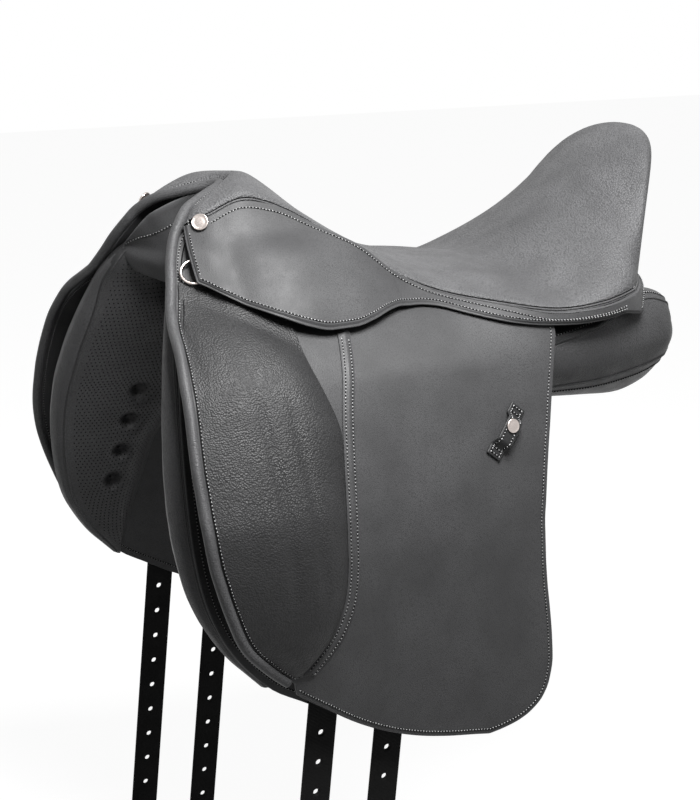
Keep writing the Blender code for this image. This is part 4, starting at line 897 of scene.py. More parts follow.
def stitch_tree():
    """Stitches of a thread over a near-black groove of painted shade, along each line."""
    tree = Tree("stitches", Pitch=0.0023, Length=0.0017, Width=0.0008, Groove=0.0005,
                Thread=None, Seam=None)
    given = tree.given
    even = tree.even_line(given["Pitch"])
    stitch = tree.add("GeometryNodeMeshUVSphere", {"Segments": 5, "Rings": 4, "Radius": 0.5})
    tangent = tree.add("GeometryNodeInputTangent")
    places = tree.on_points(even, stitch, tangent, given["Width"], given["Length"])
    threads = tree.covered(places, given["Thread"])
    seam = tree.covered(tree.round_along(even, given["Groove"], 4), given["Seam"])
    return tree.done(tree.add("GeometryNodeJoinGeometry", {"Geometry": [threads, seam]}))


def cord_tree():
    """A round cord along each line."""
    tree = Tree("cord", Radius=0.001, Spacing=0.003, Cover=None)
    cord = tree.round_along(tree.even_line(tree.given["Spacing"]), tree.given["Radius"], 8)
    smooth = tree.add("GeometryNodeSetShadeSmooth", {"Geometry": cord})
    return tree.done(tree.covered(smooth, tree.given["Cover"]))


def dot_tree():
    """A flat round on each point, turned to its facing attribute, for perforations and sewn tufts."""
    tree = Tree("dots", Radius=0.0006, Height=0.0002, Sides=6, Rings=3, Cover=None)
    given = tree.given
    ball = tree.add("GeometryNodeMeshUVSphere",
                    {"Segments": given["Sides"], "Rings": given["Rings"], "Radius": 1.0})
    facing = tree.add("GeometryNodeInputNamedAttribute", {"Name": "facing"}, data_type="FLOAT_VECTOR")
    places = tree.on_points(given["Geometry"], ball, facing, given["Radius"], given["Height"])
    return tree.done(tree.covered(places, given["Cover"]))


TREES = {"stitches": stitch_tree, "cord": cord_tree, "dots": dot_tree}


def grown(mesh, tree_name, values):
    """The mesh that a tree makes of a mesh, with the values of its named inputs."""
    tree = bpy.data.node_groups.get(tree_name) or TREES[tree_name]()
    sockets = {item.name: item.identifier for item in tree.interface.items_tree if item.in_out == "INPUT"}

    def prepare(item):
        modifier = item.modifiers.new(tree_name, "NODES")
        modifier.node_group = tree
        for key, value in values.items():
            modifier[sockets[key]] = value
    return applied(mesh, prepare)


GROOVE_SHARE = 0.44       # radius of the seam's groove, for the thickness of the thread


def stitches(lines):
    """Rows of stitches along lines of points."""
    width = settings().stitch_width
    return grown(polylines("stitches", lines), "stitches", {
        "Pitch": settings().stitch_pitch, "Length": settings().stitch_length, "Width": width,
        "Groove": width * GROOVE_SHARE, "Thread": finished("waxed thread"), "Seam": finished("seam shadow"),
    })


def stitch_pair(lines, name, child=None, bend=None):
    """Rows of stitches on the left and their twins on the right."""
    dress_pair(stitches(lines), f"{name}_stitches", None, child, bend=bend)


def cords(lines, radius, cover, spacing=0.003):
    """Round cords along lines of points, in a finish."""
    return grown(polylines("cords", lines), "cord",
                 {"Radius": radius, "Spacing": spacing, "Cover": finished(cover)})


# Finishes

class Finish:
    """A material in the making: patterns go into its colour, roughness and bump."""

    def __init__(self, name, roughness=0.5, metallic=0.0, specular=0.5):
        self.material = bpy.data.materials.new(name)
        self.material.use_nodes = True
        self.tree = self.material.node_tree
        self.tree.nodes.clear()
        self.shader = add_node(self.tree, "ShaderNodeBsdfPrincipled", {
            "Roughness": roughness, "Metallic": metallic, "Specular IOR Level": specular})
        add_node(self.tree, "ShaderNodeOutputMaterial", {"Surface": self.shader.outputs["BSDF"]})
        self.relief = None

    def add(self, kind, inputs=None, **values):
        """The outputs of a new node."""
        return add_node(self.tree, "ShaderNode" + kind, inputs, **values).outputs

    def place(self, stretch=(1, 1, 1), turn=(0, 0, 0), surface=False):
        """Coordinates in metres: the object's own, or along the piece's surface."""
        source = self.add("UVMap", uv_map="surface")["UV"] if surface else self.add("TexCoord")["Object"]
        return self.add("Mapping", {"Vector": source, "Scale": stretch, "Rotation": turn})["Vector"]

    def noise(self, place, size, detail=3.0):
        return self.add("TexNoise", {"Vector": place, "Scale": 1 / size, "Detail": detail})["Fac"]

    def cells(self, place, size):
        return self.add("TexVoronoi", {"Vector": place, "Scale": 1 / size, "Randomness": 0.9})["Distance"]

    def bands(self, place, period, direction="Y"):
        scale = math.pi / (10 * period)
        return self.add("TexWave", {"Vector": place, "Scale": scale}, bands_direction=direction)["Fac"]

    def edges(self):
        """One along a sheet's rim, and zero inside it."""
        return self.add("Attribute", attribute_name="edge")["Fac"]

    def ranged(self, value, start, end, low=0.0, high=1.0):
        return self.add("MapRange", {"Value": value, "From Min": start, "From Max": end,
                                     "To Min": low, "To Max": high})["Result"]

    def colours(self, value, dark, light):
        ends = [c if isinstance(c, bpy.types.NodeSocket) else (*c, 1) for c in (dark, light)]
        return self.add("Mix", {"Factor": value, 6: ends[0], 7: ends[1]}, data_type="RGBA")[2]

    def feed(self, name, value):
        self.tree.links.new(value, self.shader.inputs[name])

    def bump(self, height, distance, strength=1.0):
        """Adds a relief over the ones before it."""
        inputs = {"Height": height, "Distance": distance, "Strength": strength}
        if self.relief:
            inputs["Normal"] = self.relief
        self.relief = self.add("Bump", inputs)["Normal"]
        self.feed("Normal", self.relief)


def settings():
    return bpy.context.scene.saddle_dressing


def times(colour, factor):
    return tuple(min(c * factor, 1.0) for c in colour)


# Each leather's colour and grain as shares of the settings, the depth of its relief, its least and
# most roughness, and the turn and stretch of its grain. The colour shares hold painted light: the
# seat's grained leather is made lighter for the light on the seat's top, and the pad and boxing
# leathers darker for painted shade on the lower flap and inside the panel's front.
LEATHERS = {
    "grained leather": (1.75, 1.0, 0.00060, (0.42, 0.56), (0, 0, 0), (1, 1, 1)),
    "pad leather": (0.45, 0.9, 0.00040, (0.42, 0.56), (0, 0, 0), (1, 1, 1)),
    "smooth leather": (1.0, 0.5, 0.00008, (0.46, 0.58), (0, 0, 0), (1, 1, 1)),
    "roll leather": (1.35, 0.55, 0.00025, (0.40, 0.52), (35, 20, 0), (1, 0.45, 1)),
    "panel leather": (1.1, 0.8, 0.00030, (0.44, 0.56), (0, 0, 0), (1, 1, 1)),
    "facing leather": (1.5, 0.4, 0.00004, (0.48, 0.60), (0, 0, 0), (1, 1, 1)),
    "tab leather": (0.4, 0.5, 0.00010, (0.42, 0.56), (0, 0, 0), (1, 1, 1)),
    "boxing leather": (0.5, 0.8, 0.00020, (0.46, 0.58), (45, 0, 20), (1, 0.4, 1)),
}
MIDDLE = (0.3, 0.7)       # the range of a noise that is spread over the whole scale
RIM = (0.6, 1.0)          # the range of the edge attribute that wears pale


def leather(name):
    """Black leather: a pebbled grain with finer wrinkles, darker hollows between the pebbles (the grain's
    tone and painted shade), soft colour changes and paler edges.
    """
    shade, grain_share, relief, rough, turn, stretch = LEATHERS[name]
    # The colour share makes lit and shaded copies of one black leather: painted light on the seat, painted
    # shade on the knee pads and the boxing.
    colour = times(settings().leather_colour, shade)
    grain = settings().grain * grain_share
    finish = Finish(name, specular=0.20)
    place = finish.place(stretch, tuple(math.radians(angle) for angle in turn))
    pebbles = finish.cells(place, grain)
    wrinkles = finish.noise(place, grain * 0.45, 2.0)
    cloud = finish.noise(finish.place(), 0.045, 2.0)
    base = finish.colours(finish.ranged(cloud, *MIDDLE), times(colour, 0.82), times(colour, 1.25))
    # Darker where the bump has its hollows between the pebbles: partly the grain's tone, partly painted
    # shade.
    tops = finish.colours(finish.ranged(pebbles, 0.3, 0.9), base, times(colour, 0.6))
    worn = finish.colours(finish.ranged(finish.edges(), *RIM, 0.0, 0.25), tops, times(colour, 1.8))
    finish.feed("Base Color", worn)
    finish.feed("Roughness", finish.ranged(finish.noise(place, 0.012), *MIDDLE, *rough))
    finish.bump(finish.ranged(pebbles, 0.0, 0.9, 1.0, 0.0), relief)
    finish.bump(wrinkles, relief * 0.3, 0.6)
    return finish


def waxed_thread(name):
    """Waxed thread, paler than the leather: its grey is partly the thread's own colour and partly painted
    highlight.
    """
    finish = Finish(name, specular=0.4)
    colour = settings().thread_colour_with_highlight
    cloud = finish.noise(finish.place(), 0.004)
    finish.feed("Base Color", finish.colours(cloud, times(colour, 0.6), times(colour, 1.3)))
    finish.bump(finish.noise(finish.place(), 0.0004, 1.0), 0.0001, 0.5)
    return finish


# Each shadow's roughness, specular, size of its clouds, and its two greys: near-black painted shade.
SHADOWS = {
    "seam shadow": (0.8, 0.1, 0.003, (0.003, 0.003, 0.003), (0.007, 0.007, 0.008)),
    "perforations": (0.9, 0.05, 0.002, (0.001, 0.001, 0.001), (0.004, 0.004, 0.004)),
}


def shadow(name):
    """Near-black painted shade for the pressed line that stitches lie in, or for the inside of small holes.
    """
    rough, specular, size, dark, light = SHADOWS[name]
    finish = Finish(name, roughness=rough, specular=specular)
    finish.feed("Base Color", finish.colours(finish.noise(finish.place(), size), dark, light))
    return finish


def strap_weave(name):
    """Girth strap: leather on a woven core, with fine ribs across it."""
    finish = Finish(name, specular=0.06)
    colour = settings().strap_colour
    across = finish.place(surface=True)
    ribs = finish.bands(across, settings().rib_pitch)
    threads = finish.bands(across, settings().rib_pitch * 0.7, "X")
    cloud = finish.noise(finish.place(), 0.02)
    base = finish.colours(finish.ranged(cloud, *MIDDLE), times(colour, 0.8), times(colour, 1.2))
    ribbed = finish.colours(finish.ranged(ribs, 0.1, 0.9, 0.0, 0.55), base, times(colour, 0.45))
    worn = finish.colours(finish.ranged(finish.edges(), *RIM, 0.0, 0.5), ribbed, times(colour, 1.8))
    finish.feed("Base Color", worn)
    finish.feed("Roughness", finish.ranged(cloud, *MIDDLE, 0.55, 0.7))
    finish.bump(ribs, 0.00022, 0.8)
    finish.bump(threads, 0.00008, 0.5)
    return finish


def metal(name):
    """Polished or plated metal with faint rubbing marks."""
    if name == "steel":
        colour, rough, scratch = (0.42, 0.42, 0.43), 0.32, 0.00006
    else:
        colour, rough, scratch = settings().metal_colour, 0.24, 0.00003
    finish = Finish(name, metallic=1.0, roughness=rough)
    rub = finish.noise(finish.place((1, 1, 6)), 0.0016, 4.0)
    dull = finish.noise(finish.place(), 0.009, 2.0)
    finish.feed("Base Color", finish.colours(dull, times(colour, 0.86), colour))
    finish.feed("Roughness", finish.ranged(rub, *MIDDLE, rough * 0.8, rough * 1.5))
    finish.bump(rub, scratch, 0.3)
    return finish


def moulded_plastic(name):
    """The moulded tree: fine spark texture."""
    finish = Finish(name, specular=0.4)
    place = finish.place()
    spark = finish.noise(place, 0.0011, 2.0)
    cloud = finish.noise(place, 0.05, 2.0)
    finish.feed("Base Color", finish.colours(cloud, (0.016, 0.016, 0.017), (0.026, 0.026, 0.027)))
    finish.feed("Roughness", finish.ranged(cloud, *MIDDLE, 0.5, 0.62))
    finish.bump(spark, 0.00012, 0.6)
    return finish


# What makes each finish.
MAKERS = {
    **dict.fromkeys(LEATHERS, leather), **dict.fromkeys(SHADOWS, shadow),
    "waxed thread": waxed_thread, "strap weave": strap_weave, "silver plate": metal, "steel": metal,
    "moulded plastic": moulded_plastic,
}


def finished(name):
    """The material of a name, made when it is first asked for."""
    return bpy.data.materials.get(name) or MAKERS[name](name).material


# Lines and sheets on the saddle's sides

CRISP = 0.0008            # from a sheet's edge to the next points, so that its rounding stays crisp
ROW_RISE = 0.0003         # how far a row of stitches stands over the leather


def supported(count, length):
    """Shares from 0 to 1, with one more close to each end."""
    near = min(CRISP / max(length, 0.00001), 0.3 / count)
    return [0.0, near] + spread(0, 1, count)[1:-1] + [1 - near, 1.0]


def heights_to(top, turn, bottom, coarse, fine):
    """Heights down a sheet, closer together towards its rounded end."""
    rows = [top, top - CRISP] + spread(top, turn, coarse)[1:]
    return rows + [bottom + (turn - bottom) * (1 - k / fine) ** 2 for k in range(1, fine + 1)]


def paired_sheet(name, rows):
    """A closed sheet from rows that each hold an outer and an inner line of points."""
    return sheet(name, [row[0] for row in rows], [row[1] for row in rows])


def side_sheet(name, field, outline, thickness, heights, columns, inset=None):
    """A closed sheet on a side surface, inside an outline of heights with front and rear y."""
    rows = []
    for z in heights:
        front = lookup(outline, z, 1) + (inset(z) if inset else 0)
        rear = lookup(outline, z, 2)
        ys = [mix(front, rear, share) for share in supported(columns, rear - front)]
        rows.append([[on_surface(field, y, z, out) for y in ys] for out in (0.0, -thickness)])
    return paired_sheet(name, rows)


def outline_row(field, outline, top, turn, front_top, inset, out):
    """A row along a sheet's edge: down its rear, round its lower end and up its front."""
    heights = heights_to(top, turn, outline[0][0], 60, 30)
    line = [(lookup(outline, z, 2), z) for z in heights]
    line += [(lookup(outline, z, 1), z) for z in reversed(heights) if z < front_top]
    flat = inset_line(resampled(line, 400), -inset)
    return [on_surface(field, p.x, p.y, out) for p in flat[4:-4]]


def through(points, steps, closed=False):
    """A smooth line through points."""
    count = len(points)
    result = []
    for i in range(count if closed else count - 1):
        places = [i + k if closed else min(max(i + k, 0), count - 1) for k in (-1, 0, 1, 2)]
        near = [points[k % count] for k in places]
        result += [curve(*near, k / steps) for k in range(steps)]
    if not closed:
        result.append(points[-1].copy())
    return result


def refined(grid, steps):
    """A grid with more rows, smooth through the given ones."""
    columns = [through([row[j] for row in grid], steps) for j in range(len(grid[0]))]
    return [[column[i] for column in columns] for i in range(len(columns[0]))]


def joined(*meshes):
    """One mesh of several, with their materials."""
    items = []
    for mesh in meshes:
        item = bpy.data.objects.new("work", mesh)
        bpy.context.scene.collection.objects.link(item)
        items.append(item)
    with bpy.context.temp_override(active_object=items[0], selected_editable_objects=items):
        bpy.ops.object.join()
    result = items[0].data
    bpy.data.objects.remove(items[0])
    return result


# Where the flap and the skirt's front start and end their bends.
FLAP_BEND = (Vector((0.155, -0.1, HINGE_Z + 0.007)), Vector((0.155, -0.1, HINGE_Z - 0.007)))
LOBE_BEND = (Vector((0.1, -0.1435, 0.1273)), Vector((0.1, -0.1467, 0.1157)))
# The outlines from their lowest points up.
FLAP_ROWS = [(-0.2600, -0.0200, -0.0180)] + sorted(FLAP_OUTLINE + HEAD_OUTLINE)
SWEAT_ROWS = [(-0.2450, -0.0580, -0.0560)] + sorted(SWEAT_OUTLINE)
ROLL_OVERLAP = 0.0012     # how far the flap's sheet reaches into the roll


def front_inset(z):
    """How far the flap's sheet stands back from the front line, to leave room for the roll."""
    if z <= ROLL_END[1]:
        return 0.0
    full = (2 * PIPING_RADIUS - ROLL_OVERLAP) * front_slant(z)
    return full * smoothstep(ROLL_END[1], ROLL_END[0] + 0.008, z)


ROLL_APEX = table((0, -169.7, 179.2), (7.5, -174.5, 177.5), (16.0, -187.0, 174.0), (26.2, -201.7, 169.5))
ROLL_HEIGHTS = [0.165, 0.155, 0.145, 0.130, 0.115]


def roll_path():
    """The middle of the front roll, from the pommel down the left side."""
    points = [Vector(point) for point in ROLL_APEX]
    points += [roll_centre(z) for z in ROLL_HEIGHTS + spread(0.100, -0.176, 56)]
    return resampled(through(points, 6), 330)


POMMEL_FOOT = 0.156       # height down to which a line behind the roll goes


def over_pommel(path, distance, rise):
    """A line behind the roll, over the pommel."""
    line = []
    for i, point in enumerate(path[:-1]):
        if point.z < POMMEL_FOOT:
            break
        along = (path[i + 1] - path[i - 1]).normalized() if i else Vector((1, 0, 0))
        outward = Vector((smoothstep(0.178, 0.150, point.z), 0, 1)).normalized()
        back = outward.cross(along).normalized()
        line.append(point + back * distance + outward * rise)
    return line


SEAT_DIP = 0.0085         # how far the cover gives where the rider sits
DIP_Y = 0.078
DIP_REACH = 0.030


def settled(point, across):
    """A point of the seat, pressed down a little where the rider sits."""
    near = math.exp(-((point.y - DIP_Y) / DIP_REACH) ** 2)
    return point - Vector((0, 0, SEAT_DIP * near * (1 - abs(across) ** 3)))


# Seat

COVER_FRONT = (0.7, 1.5)  # the cross sections between which the cover's front part runs
COVER_WIDTH = 0.35        # across the cover at its widest, over its crown
FLANGE_SHARES = (0, 0.06, 0.3, 0.6, 0.85)   # rows from the roll to the first cross section
FLANGE_RISE = 0.0022
WELT_CORDS = (0.0019, 0.0037)               # depths of the two cords under the cover's edge
WELT_CORD_RADIUS = 0.00098
WELT_REACH = 0.0003       # how far they stand out from it


class SADDLE_OT_seat(bpy.types.Operator):
    """Makes the seat cover and the two cords under its edge"""
    bl_idname = "saddle.seat"
    bl_label = "Seat cover and piping"

    def execute(self, context):
        values = spread(*COVER_FRONT, 6) + spread(COVER_FRONT[1], SEAT_LAST, 92)[1:]
        shares = [2 * share - 1 for share in supported(45, COVER_WIDTH)]
        front = resampled(over_pommel(roll_path(), PIPING_RADIUS * 0.8, 0.0012), 60)
        edge = [self.front_point(front, across) for across in shares]
        under = [p - Vector((0, -0.0006, COVER_THICK * 0.6)) for p in edge]
        grids = []
        for surface, line in ((seat_point, edge), (self.inner_point, under)):
            grid = [[settled(surface(value, across), across) for across in shares] for value in values]
            grids.append(self.towards(line, grid))
        cover = sheet("seat_cover", *grids)
        dress(polished(cover), "seat_cover", "grained leather", ROOT,
              ["seat_cover", "seat_foam"])
        welts = cords([self.welt(drop) for drop in WELT_CORDS], WELT_CORD_RADIUS, "roll leather")
        dress(welts, "seat_piping", None, ROOT, ["seat_welt"])
        return {"FINISHED"}

    def front_point(self, line, across):
        """Where the cover meets the roll."""
        place = abs(across) * (len(line) - 1)
        k = min(int(place), len(line) - 2)
        point = line[k].lerp(line[k + 1], place - k)
        return flipped(point) if across < 0 else point

    def towards(self, edge, grid):
        """The grid with rows added in front, up to an edge."""
        added = []
        for share in FLANGE_SHARES:
            rise = Vector((0, 0, FLANGE_RISE * math.sin(math.pi * share)))
            added.append([a.lerp(b, share) + rise for a, b in zip(edge, grid[0])])
        return added + grid

    def inner_point(self, value, across):
        """A point on the cover's inner face."""
        step = 0.02
        along = seat_point(min(value + step, SEAT_LAST), across) - seat_point(max(value - step, 0), across)
        side = seat_point(value, min(across + step, 1)) - seat_point(value, max(across - step, -1))
        return seat_point(value, across) - side.cross(along).normalized() * COVER_THICK

    def welt(self, drop):
        """A line round the seat's edge, at a depth under it."""
        path = []
        for value in spread(0.15, SEAT_LAST, 150):
            place = Vector(seat_row(value)[:3])
            path.append(place + seat_outward(value, 0.1) * WELT_REACH - Vector((0, 0, drop)))
        path[-1].x = 0
        return path + [flipped(p) for p in reversed(path[:-1])]


# Skirts

SKIRT_STEP = 0.0016       # how far the top layer ends short of the lower one
SKIRT_LOW = 0.0015        # height of the lower layer
SKIRT_FRONT = SKIRT_STATIONS[0][0]
SKIRT_JOIN = -0.0604      # where the part that lifts meets the part that doesn't
SKIRT_REAR = 0.135        # where the band round the cantle starts
TAIL = (11.35, 14.8)      # the cross sections of the seat between which that band runs
TAIL_DEPTH = (0.018, 0.005)
TAIL_REACH = 0.004        # how far the band's lower edge stands out
EDGE_SEAM = SKIRT_STEP + 0.0019
UPPER_SEAM = -0.0058
STUD_ROOM = 0.007         # from the stud's middle to the first stitch


def skirt_side(upper_y, share, lift):
    """A point on the skirt, from its upper edge at share 0 to its lower edge at 1."""
    y = mix(upper_y, lookup(SKIRT_STATIONS, upper_y, 1), share)
    z = mix(lookup(WELT, upper_y, 2) - SKIRT_DROP, lookup(SKIRT_STATIONS, upper_y, 2), share)
    return on_surface(flap_x, y, z, skirt_out(y, z) + lift)


def skirt_tail(value, share, lift):
    """The same on the narrow band round the back of the cantle."""
    x, y, z = seat_row(value)[:3]
    outward = seat_outward(value, 0.2)
    if outward.y < 0:
        outward = -outward
    depth = mix(*TAIL_DEPTH, smoothstep(0.0, 0.42, (value - TAIL[0]) / (TAIL[1] - TAIL[0])))
    start = Vector((x, y, z - SKIRT_DROP)) + outward * 0.0006
    return start + outward * (TAIL_REACH * share + lift) - Vector((0, 0, depth * share))


def skirt_row(point, place, front=False):
    """The outer and inner points of one row across the skirt. Its top layer ends short of its lower one."""
    length = (point(place, 1, 0) - point(place, 0, 0)).length
    step = SKIRT_STEP / length
    shares = [0.0, CRISP / length] + spread(0, 1 - step - 0.0010 / length, 20)[1:]
    shares += [1 - step - 0.0003 / length, 1 - step, 1 - CRISP / length, 1]
    lifts = [SKIRT_LOW if front else SKIRT_THICK] * (len(shares) - 3) + [SKIRT_LOW] * 3
    outer = [point(place, share, lift) for share, lift in zip(shares, lifts)]
    return outer, [point(place, share, 0) for share in shares]


def skirt_seam(point, places, from_edge):
    """A stitch row along the skirt: above its lower edge, or under its upper one where that is negative."""
    line = []
    for place in places:
        length = (point(place, 1, 0) - point(place, 0, 0)).length
        share = 1 - from_edge / length if from_edge > 0 else -from_edge / length
        line.append(point(place, share, SKIRT_THICK + ROW_RISE))
    return line


class SADDLE_OT_skirts(bpy.types.Operator):
    """Makes the skirts in two layers, their stitch rows and their studs"""
    bl_idname = "saddle.skirts"
    bl_label = "Skirts and studs"

    def execute(self, context):
        self.front_part()
        self.rear_part()
        self.front_seams()
        self.rear_seams()
        self.studs()
        return {"FINISHED"}

    def front_part(self):
        """The part that lifts."""
        front = SKIRT_FRONT
        edge = [front, front + CRISP, front + SKIRT_STEP - 0.0001, front + SKIRT_STEP + 0.0003,
                front + SKIRT_STEP + 0.0012]
        ys = edge + spread(edge[-1], SKIRT_JOIN, 54)[1:-1] + [SKIRT_JOIN - 0.0002, SKIRT_JOIN]
        rows = [skirt_row(skirt_side, y, y < front + SKIRT_STEP) for y in ys]
        dress_pair(paired_sheet("skirt_front", rows), "skirt_front", "smooth leather",
                   "skirt_lobe", ["skirt_lobe"], bend=LOBE_BEND)
    def rear_part(self):
        """The part under the seat and the band round the cantle."""
        ys = [SKIRT_JOIN, SKIRT_JOIN + 0.0004] + spread(SKIRT_JOIN, SKIRT_REAR, 30)[1:]
        rows = [skirt_row(skirt_side, y) for y in ys]
        rows += [skirt_row(skirt_tail, value) for value in spread(*TAIL, 16)]
        outer = refined([row[0] for row in rows], 2)
        inner = refined([row[1] for row in rows], 2)
        dress_pair(sheet("skirt_rear", outer, inner), "skirt_rear", "smooth leather",
                   nodes=["skirt"])

    def front_seams(self):
        first = SKIRT_FRONT + EDGE_SEAM
        lines = [skirt_seam(skirt_side, spread(first, SKIRT_JOIN, 80), EDGE_SEAM),
                 [skirt_side(first, share, SKIRT_THICK + ROW_RISE) for share in spread(0.16, 0.86, 20)],
                 skirt_seam(skirt_side, spread(STUD_PLACE[0] + STUD_ROOM, SKIRT_JOIN, 60), UPPER_SEAM)]
        stitch_pair(lines, "skirt_front", "skirt_lobe", LOBE_BEND)

    def rear_seams(self):
        lines = []
        for from_edge in (EDGE_SEAM, UPPER_SEAM):
            line = skirt_seam(skirt_side, spread(SKIRT_JOIN, SKIRT_REAR - 0.002, 50), from_edge)
            if from_edge > 0:
                line += skirt_seam(skirt_tail, spread(TAIL[0] + 0.1, TAIL[1] - 0.1, 30), from_edge)
            lines.append(resampled(line, 160))
        stitch_pair(lines, "skirt_rear")

    def studs(self):
        """Each stud, with a rounded rim round a shallow dish."""
        base = skirt_out(*STUD_PLACE) + SKIRT_THICK + 3 * CLEAR
        shape = ((0, 0), (0.9, 0), (0.98, 0.0003), (1, 0.0008), (1, 0.0014), (0.97, 0.0018), (0.92, 0.0020),
                 (0.87, 0.0019), (0.83, 0.0016), (0.55, 0.0019), (0.2, 0.0021), (0, 0.0021))
        profile = [(STUD_RADIUS * share, base + height) for share, height in shape]
        stud = turned("skirt_stud", profile, surface_frame(flap_x, *STUD_PLACE), 48)
        dress_pair(stud, "skirt_stud", "silver plate", nodes=["skirt_stud"])


# Flaps

FLAP_TURN = -0.236        # height under which the flap is rounded off


class SADDLE_OT_flaps(bpy.types.Operator):
    """Makes each flap in one sheet from the seat to its lower end, with its edge stitching"""
    bl_idname = "saddle.flaps"
    bl_label = "Flaps"

    def execute(self, context):
        heights = heights_to(HEAD_OUTLINE[-1][0], FLAP_TURN, FLAP_ROWS[0][0], 84, 26)
        flap = side_sheet("flap", flap_x, FLAP_ROWS, FLAP_THICK, heights, 38, front_inset)
        dress_pair(flap, "flap", "smooth leather", "flap",
                   ["flap", "flap_head"], bend=FLAP_BEND)
        row = outline_row(flap_x, FLAP_ROWS, 0.070, FLAP_TURN, -0.181, 0.0036, ROW_RISE)
        stitch_pair([row], "flap", "flap", FLAP_BEND)
        return {"FINISHED"}


# Rolls

STITCH_BACK = 0.0022      # from the roll to the stitches behind it
SEAM_BACK = 0.0050        # and to the pressed line behind them
GATHER = 0.0005           # height of the folds over the pommel
GATHER_PITCH = 0.0052


class SADDLE_OT_rolls(bpy.types.Operator):
    """Makes the rolled edge from the pommel down the front of each flap, and the seam behind it"""
    bl_idname = "saddle.rolls"
    bl_label = "Front rolls"

    def execute(self, context):
        path = roll_path()
        path[0].x = 0.0001
        roll = tube("roll", path, PIPING_RADIUS, 20, self.gathers)
        dress_pair(roll, "roll", "roll leather", "flap", ["flap_roll"], bend=FLAP_BEND)
        for side in SIDES:
            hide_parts("pommel_roll")
        top = over_pommel(path, PIPING_RADIUS + 0.0020, 0.0046)
        under = [on_surface(flap_x, self.back(STITCH_BACK, z), z, -FLAP_THICK - ROW_RISE)
                 for z in spread(0.090, -0.172, 170)]
        lines = [top[1:] + self.behind(STITCH_BACK), under]
        stitch_pair(lines, "roll", "flap", FLAP_BEND)
        # The pressed line behind the stitches is a near-black cord in the seam shadow finish: painted
        # shade.
        seam = cords([self.behind(SEAM_BACK)], 0.00055, "seam shadow", 0.002)
        dress_pair(seam, "roll_seam", None, "flap", bend=FLAP_BEND)
        return {"FINISHED"}

    def gathers(self, point, out):
        """Small folds on the inside of the bend over the pommel."""
        near = smoothstep(0.150, 0.168, point.z)
        under = max(-out.z, 0)
        along = point.x * 1.2 - point.y
        return GATHER * near * under * math.sin(along * 2 * math.pi / GATHER_PITCH)

    def back(self, distance, z):
        """How far back a line behind the roll lies."""
        return lookup(FRONT_LINE, z, 2) + (2 * PIPING_RADIUS + distance - 0.0008) * front_slant(z)

    def behind(self, distance):
        """A line on the leather just behind the roll."""
        line = []
        for z in spread(0.155, -0.172, 190):
            rise = mix(0.0002, 0.0020, smoothstep(0.112, 0.098, z))
            line.append(on_surface(flap_x, self.back(distance, z), z, rise))
        return line


# Knee pads

STRIP_TOP = table((78, -128), (62, -132.5))
STRIP_LINE = sorted(STRIP_TOP + [(row[0], row[2]) for row in PAD_OUTLINE])
STRIP_PROFILE = table((0, 0.8), (1.0, 1.4), (3.0, 1.6), (4.0, 2.3), (6.0, 2.3), (7.0, 1.6), (9.0, 1.4),
                      (10.0, 0.8))
PAD_LOW = -0.1725
PAD_EDGE = 0.0018         # thickness round the pad's edge
PAD_HEIGHT = 0.0200       # and at its crown
PAD_DRAW = 0.036          # how far its rear edge is drawn forward at its top
PAD_FOLDS = ((-0.2140, 0.0016), (-0.1900, 0.0012))   # y and depth
FOLD_LEAN = 0.06
FOLD_REACH = 0.0042


def skirt_lower(y):
    """Height of the skirt's lower edge."""
    return lookup([(row[1], row[2]) for row in SKIRT_STATIONS], y, 1)


def pad_front(z):
    return lookup(FRONT_LINE, z, 2) + (2 * PIPING_RADIUS + 0.0012) * front_slant(z)


def pad_rear(z):
    """The pad's rear edge: along the strip, and curving away from it towards its top."""
    return lookup(STRIP_LINE, z, 1) - PAD_DRAW * smoothstep(0.0, 0.085, z)


def pad_top(share):
    """Height at which a line down the pad starts, a little under the skirt."""
    z = 0.09
    for _ in range(6):
        z = skirt_lower(mix(pad_front(z), pad_rear(z), share)) + 0.004
    return z


def pad_rise(y, z, start):
    """Thickness of the knee pad, from a start below the skirt."""
    front = pad_front(z)
    across = min(max((y - front) / max(pad_rear(z) - front, 0.001), 0), 1)
    down = min(max((start - z) / (start - PAD_LOW), 0), 1)
    hump = (1 - (1 - across) ** 2.2) * (1 - across ** 8)
    length = 1 - abs(2 * down - 1) ** 5
    rise = PAD_EDGE + (PAD_HEIGHT - PAD_EDGE) * max(hump, 0) * max(length, 0)
    for fold, depth in PAD_FOLDS:
        reach = smoothstep(-0.125, -0.08, z) * (1 - smoothstep(0.02, 0.05, z))
        rise -= depth * reach * math.exp(-((y - fold + FOLD_LEAN * z) / FOLD_REACH) ** 2)
    return rise


